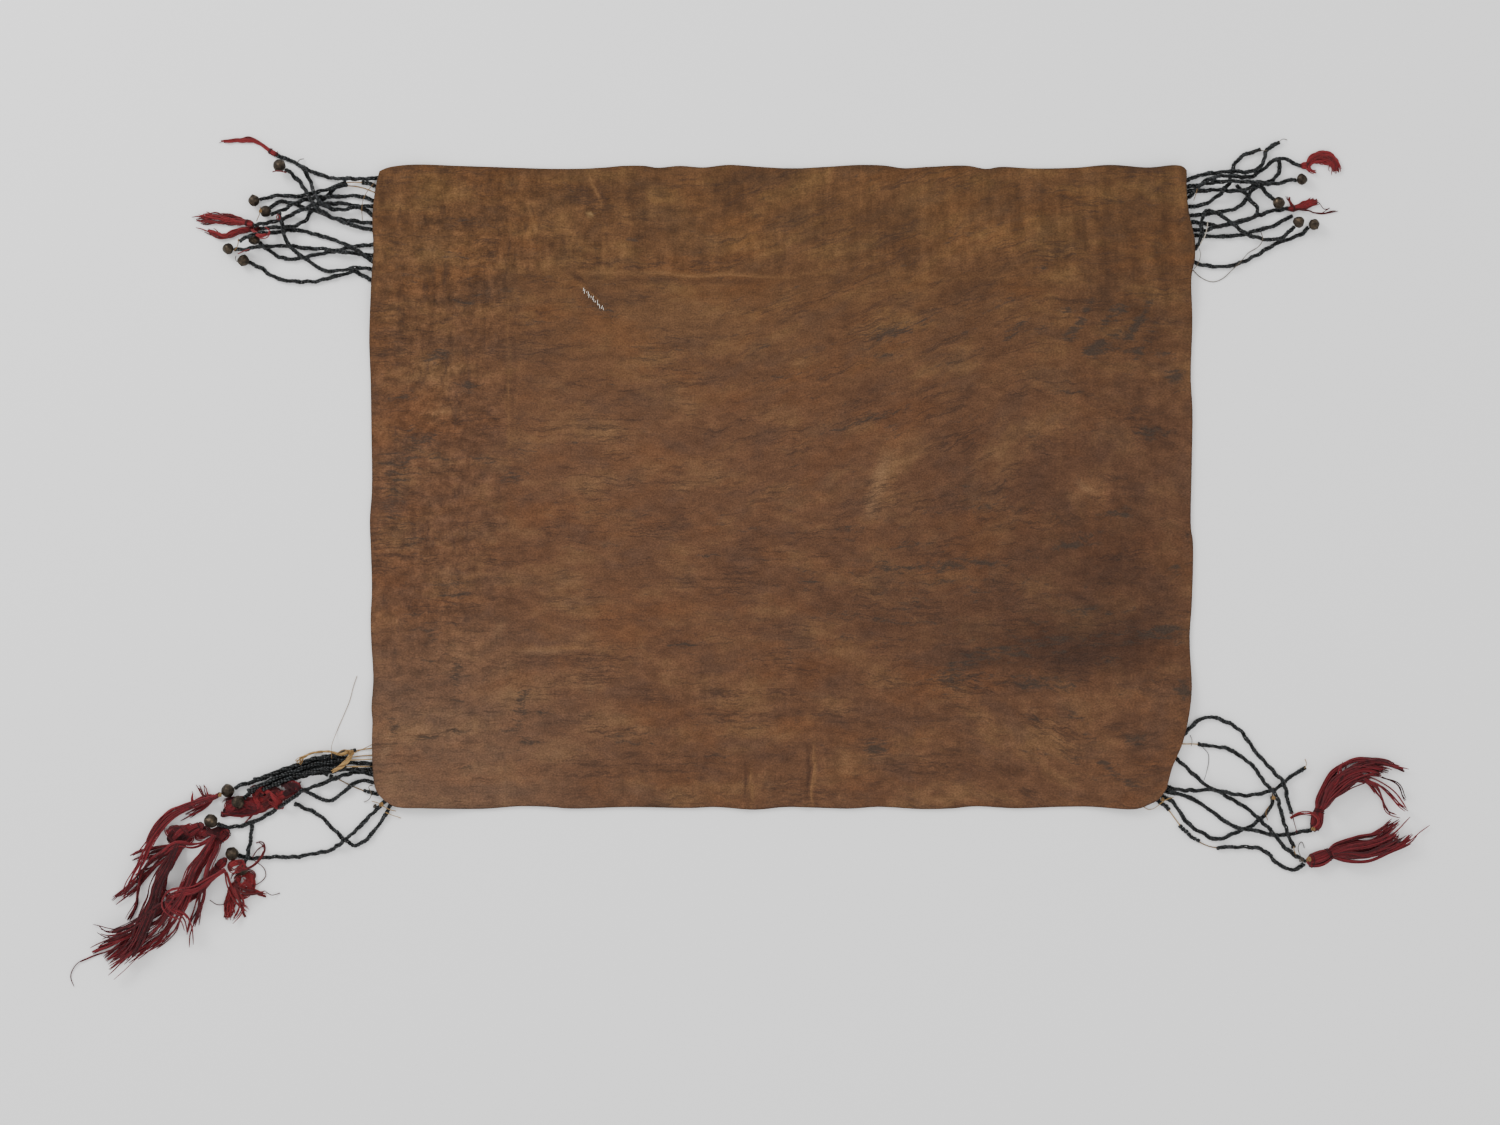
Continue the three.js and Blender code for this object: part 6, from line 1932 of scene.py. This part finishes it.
@dataclass
class Oddments:
    """Loose threads, knots, stray and matted wool, and the hand-sewn mend."""

    ground: Ground
    sewn_reach: float = 9.0
    sewn_base: float = 0.3
    knotted: float = 0.55
    matted: float = 0.62
    loose_wool: float = 0.7

    def thread(self, piece: LooseThread, number: int) -> Strand:
        """Lays one loose thread over what it crosses."""
        stations = Stations.along(piece.route, [piece.thick], piece.thick)
        self.ground.drape(stations, f"thread_{number}", set(), gap=LOOSE_GAP)
        for corner in CORNERS:
            edge = distances(stations.plan, corner.line())
            stations.base = np.where(edge < self.sewn_reach, self.sewn_base, stations.base)
        course = Course.over(stations, 1.6, 5.0)
        radius = np.full(len(course.middle), piece.thick / 2)
        return Strand(course.middle, radius, 0.3 + 0.05 * (number % 9))

    def knot(self, piece: Knot) -> Strand:
        """Ties one knot: a line that turns on itself three times."""
        angle = np.linspace(0, 6 * math.pi, 60)
        spot = place(piece.place)
        disc = np.array([[*spot, 0.5]])
        base = float(self.ground.rest(disc, set(), 0.0)[0])
        size = piece.size / 2
        x = spot[0] + size * np.sin(angle) * np.cos(angle * 0.37)
        y = spot[1] + size * np.cos(angle * 1.33)
        z = base * 0.8 + size * 0.9 + size * 0.6 * np.sin(angle * 0.71)
        return Strand(np.stack([x, y, z], axis=1), np.full(len(angle), self.knotted), 0.5)

    def tangle(self, piece: Tangle) -> list[Strand]:
        """Lays matted loops of wool around a place, in a low heap."""
        random = np.random.default_rng(rounded(piece.place[0]))
        middle = place(piece.place)
        spots = middle + np.array([[a, b] for a in (-0.6, 0, 0.6) for b in (-0.6, 0, 0.6)]) * piece.size
        base = float(np.median(self.ground.rest(np.column_stack([spots, np.full(9, 0.5)]), set(), 0.0)))
        found = []
        for _ in range(piece.strands // 4):
            t = np.linspace(0.0, random.uniform(2.4, 4.2), 26)
            pace = random.uniform(0.7, 1.3, 3)
            phase = random.uniform(0, 6.3, 3)
            reach = random.uniform(0.5, 0.95)
            x = middle[0] + piece.size[0] * reach * np.sin(pace[0] * t + phase[0])
            y = middle[1] + piece.size[1] * reach * np.sin(pace[1] * t + phase[1])
            ways = np.stack([-np.gradient(y), np.gradient(x)], axis=1)
            ways /= np.maximum(np.linalg.norm(ways, axis=1), 0.2)[:, None]
            off = np.hypot((x - middle[0]) / piece.size[0], (y - middle[1]) / piece.size[1])
            z = 0.8 + (base + 2.4 + 1.6 * np.sin(pace[2] * t + phase[2])) * np.clip(1.25 - off, 0.15, 1.0)
            tint = random.uniform(0, 0.8)
            for number in range(5):
                shift = (number - 2) * random.uniform(0.9, 1.2) + 0.3 * np.sin(t * 3 + number)
                line = np.stack([x, y, z + 0.25 * (number % 2)], axis=1)
                line[:, :2] += ways * shift[:, None]
                ends = random.integers(0, 5, 2)
                line = line[ends[0]:len(line) - ends[1]]
                radius = np.full(len(line), self.matted)
                radius[:2] *= (0.4, 0.8)
                radius[-2:] *= (0.8, 0.4)
                found.append(Strand(line, radius, tint + random.uniform(0.1, 0.3)))
        return found

    def lock(self, piece: Lock, number: int) -> list[Strand]:
        """Lays a lock over what it crosses: strands side by side that part at its end."""
        random = np.random.default_rng(number)
        stations = Stations.along(piece.route, [piece.width], LOCK_HEIGHT)
        self.ground.drape(stations, f"lock_{number}", set(), gap=LOOSE_GAP)
        course = Course.over(stations, 2.2, 6.0)
        side, _ = course.frames()
        fall = course.runs() / course.runs()[-1]
        belly = 0.3 + 0.7 * smoothstep(fall, 0.0, 0.4)
        lock_tint = 0.6 + 0.2 * math.sin(number * 2.1)
        found = []
        for _ in range(piece.strands):
            across = random.uniform(-0.5, 0.5)
            phase = random.uniform(0, 6.3)
            part = smoothstep(fall, 0.65, 1.0) * random.normal(0, 0.5 + piece.width / 12)
            shift = across * piece.width * belly + 0.7 * np.sin(course.runs() / 9 + phase) + part
            line = course.middle + side * shift[:, None]
            line[:, 2] += random.uniform(-0.6, 0.9)
            kept = max(4, rounded(len(line) * random.uniform(0.7, 1.0)))
            radius = tapered(kept, self.loose_wool * random.uniform(0.8, 1.05))
            found.append(Strand(line[:kept], radius, lock_tint + random.uniform(-0.2, 0.2)))
        return found

    def mend(self) -> list[Strand]:
        """Gives the stitches of the mend, slanting over the crease that they close."""
        start, end = place(MEND["start"]), place(MEND["end"])
        along = (end - start) / np.hypot(*(end - start))
        across = np.array([along[1], -along[0]])
        lean = across * 0.8 + along * 0.6
        found = []
        for i in range(MEND["stitches"]):
            middle = start + (end - start) * (i + 0.5) / MEND["stitches"]
            half = lean * MEND["length"] / 2 * (0.8 + 0.4 * math.sin(i * 2.3))
            half = half + along * 1.1 * math.sin(i * 3.1)
            middle = middle + across * 0.7 * math.sin(i * 1.9)
            shares = np.linspace(-1, 1, 7)
            plan = middle + np.outer(shares, half)
            height = lift_at(plan) + LEATHER + 0.25 + 0.75 * np.sqrt(np.clip(1 - shares ** 2, 0, 1))
            found.append(Strand(np.column_stack([plan, height]), np.full(7, MEND["thick"] / 2), 0.9))
        return found

    def build(self, yarn: SweptYarn, materials: dict[Yarn, Material]) -> list[Object]:
        """Makes all that is spun from each yarn, with the mend in pale thread."""
        slots = dict(zip(Yarn, ("twine", "twine", "beads", "wool", "wool")))
        made = []
        for kind, material in materials.items():
            strands = [self.thread(t, i) for i, t in enumerate(THREADS) if t.yarn is kind]
            strands += [self.knot(k) for k in KNOTS if k.yarn is kind]
            for number, piece in enumerate(LOCKS):
                strands += self.lock(piece, number) if piece.yarn is kind else []
            for matted in TANGLES:
                strands += self.tangle(matted) if matted.yarn is kind else []
            if kind is Yarn.PALE:
                strands += self.mend()
            piece = yarn.grow(f"loose_threads_{kind.value}", strands, material, Sides=5)
            made.append(finished(piece, slots[kind]))
        return made


@dataclass
class Studio:
    """The pale floor, the soft light and the camera straight above."""

    view_middle: Point = (750.0, 562.5)
    view_width: float = 1500.0
    lens: float = 85.0
    sensor: float = 36.0
    floor_reach: float = 9.0
    floor_drop: float = -0.0002

    def build(self) -> None:
        """Makes the floor, the lights and the camera."""
        mesh = bpy.data.meshes.new("floor")
        reach = self.floor_reach
        square = [(-reach, -reach, 0), (reach, -reach, 0), (reach, reach, 0), (-reach, reach, 0)]
        mesh.from_pydata(square, [], [(0, 1, 2, 3)])
        floor = added("floor", mesh)
        floor.location.z = self.floor_drop
        material, _, surface = new_material("pale_floor")
        feed(material.node_tree, surface, {"Base Color": (0.94, 0.94, 0.94, 1), "Roughness": 0.9})
        mesh.materials.append(material)
        world = bpy.data.worlds.new("soft_room")
        world.use_nodes = True
        background = world.node_tree.nodes["Background"]
        feed(world.node_tree, background, {"Color": (1, 1, 1, 1), "Strength": 1.15})
        bpy.context.scene.world = world
        self.lamp("key", (-2.0, 1.8, 1.9), 1.2, 60)
        self.lamp("fill", (1.8, -1.2, 2.8), 2.4, 12)
        camera = bpy.data.cameras.new("camera")
        camera.lens = self.lens
        camera.sensor_width = self.sensor
        camera.clip_end = 60
        held = added("camera", camera)
        held.location = (*place(self.view_middle) * MM, self.view_width * MM * self.lens / self.sensor)
        bpy.context.scene.camera = held

    def lamp(self, name: str, spot: tuple[float, float, float], size: float, power: float) -> None:
        """Hangs a large square lamp that faces the blanket."""
        light = bpy.data.lights.new(name, "AREA")
        light.size = size
        light.energy = power
        hung = added(name, light)
        hung.location = spot
        hung.rotation_euler = Vector(spot).to_track_quat("Z", "Y").to_euler()


def main() -> None:
    """Builds the blanket's pieces in order."""
    logging.basicConfig(level=logging.INFO, format="%(message)s")
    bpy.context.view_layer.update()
    Studio().build()
    yarn, beads = SweptYarn(), StrungBeads()
    scarlet = SCARLET_WOOL.material()
    glass, madder, brass = BlackGlass().material(), MADDER_WOOL.material(), OldBrass().material()
    twine, pale, dark = TWINE.material(), PALE_THREAD.material(), DARK_THREAD.material()
    ground = Ground()
    held = []
    for corner in CORNERS:
        strip = corner.line()
        routes = []
        bells = 0
        for piece in corner.pieces:
            if isinstance(piece, Tassel):
                head, bundles = ground.lay_tassel(piece)
                curly = piece.name in CURLY
                curl = TIGHT_CURL if curly else PLAIN_CURL
                tassel = WoolTassel(piece, head, bundles, seed=len(ground.blocks), curl=curl)
                tassel.build(yarn, scarlet if curly else madder)
                continue
            if isinstance(piece, Tie):
                TwineTie(piece, ground.lay_tie(piece)).build(yarn, twine)
                continue
            routes.append(ground.lay_string(piece, strip))
            if piece.bell:
                bells += 1
                Bell(f"bell_{corner.key}_{bells}", ground.bells[piece.name]).build(yarn, brass)
        held += BeadedStrings(corner, routes).build(beads, yarn, glass, twine)
    sheet = LeatherSheet().build(SmokedHide().material())
    Oddments(ground).build(yarn, {
        Yarn.TWINE: twine, Yarn.PALE: pale, Yarn.DARK: dark, Yarn.RED: scarlet, Yarn.WINE: madder})


if __name__ == "__main__":
    main()
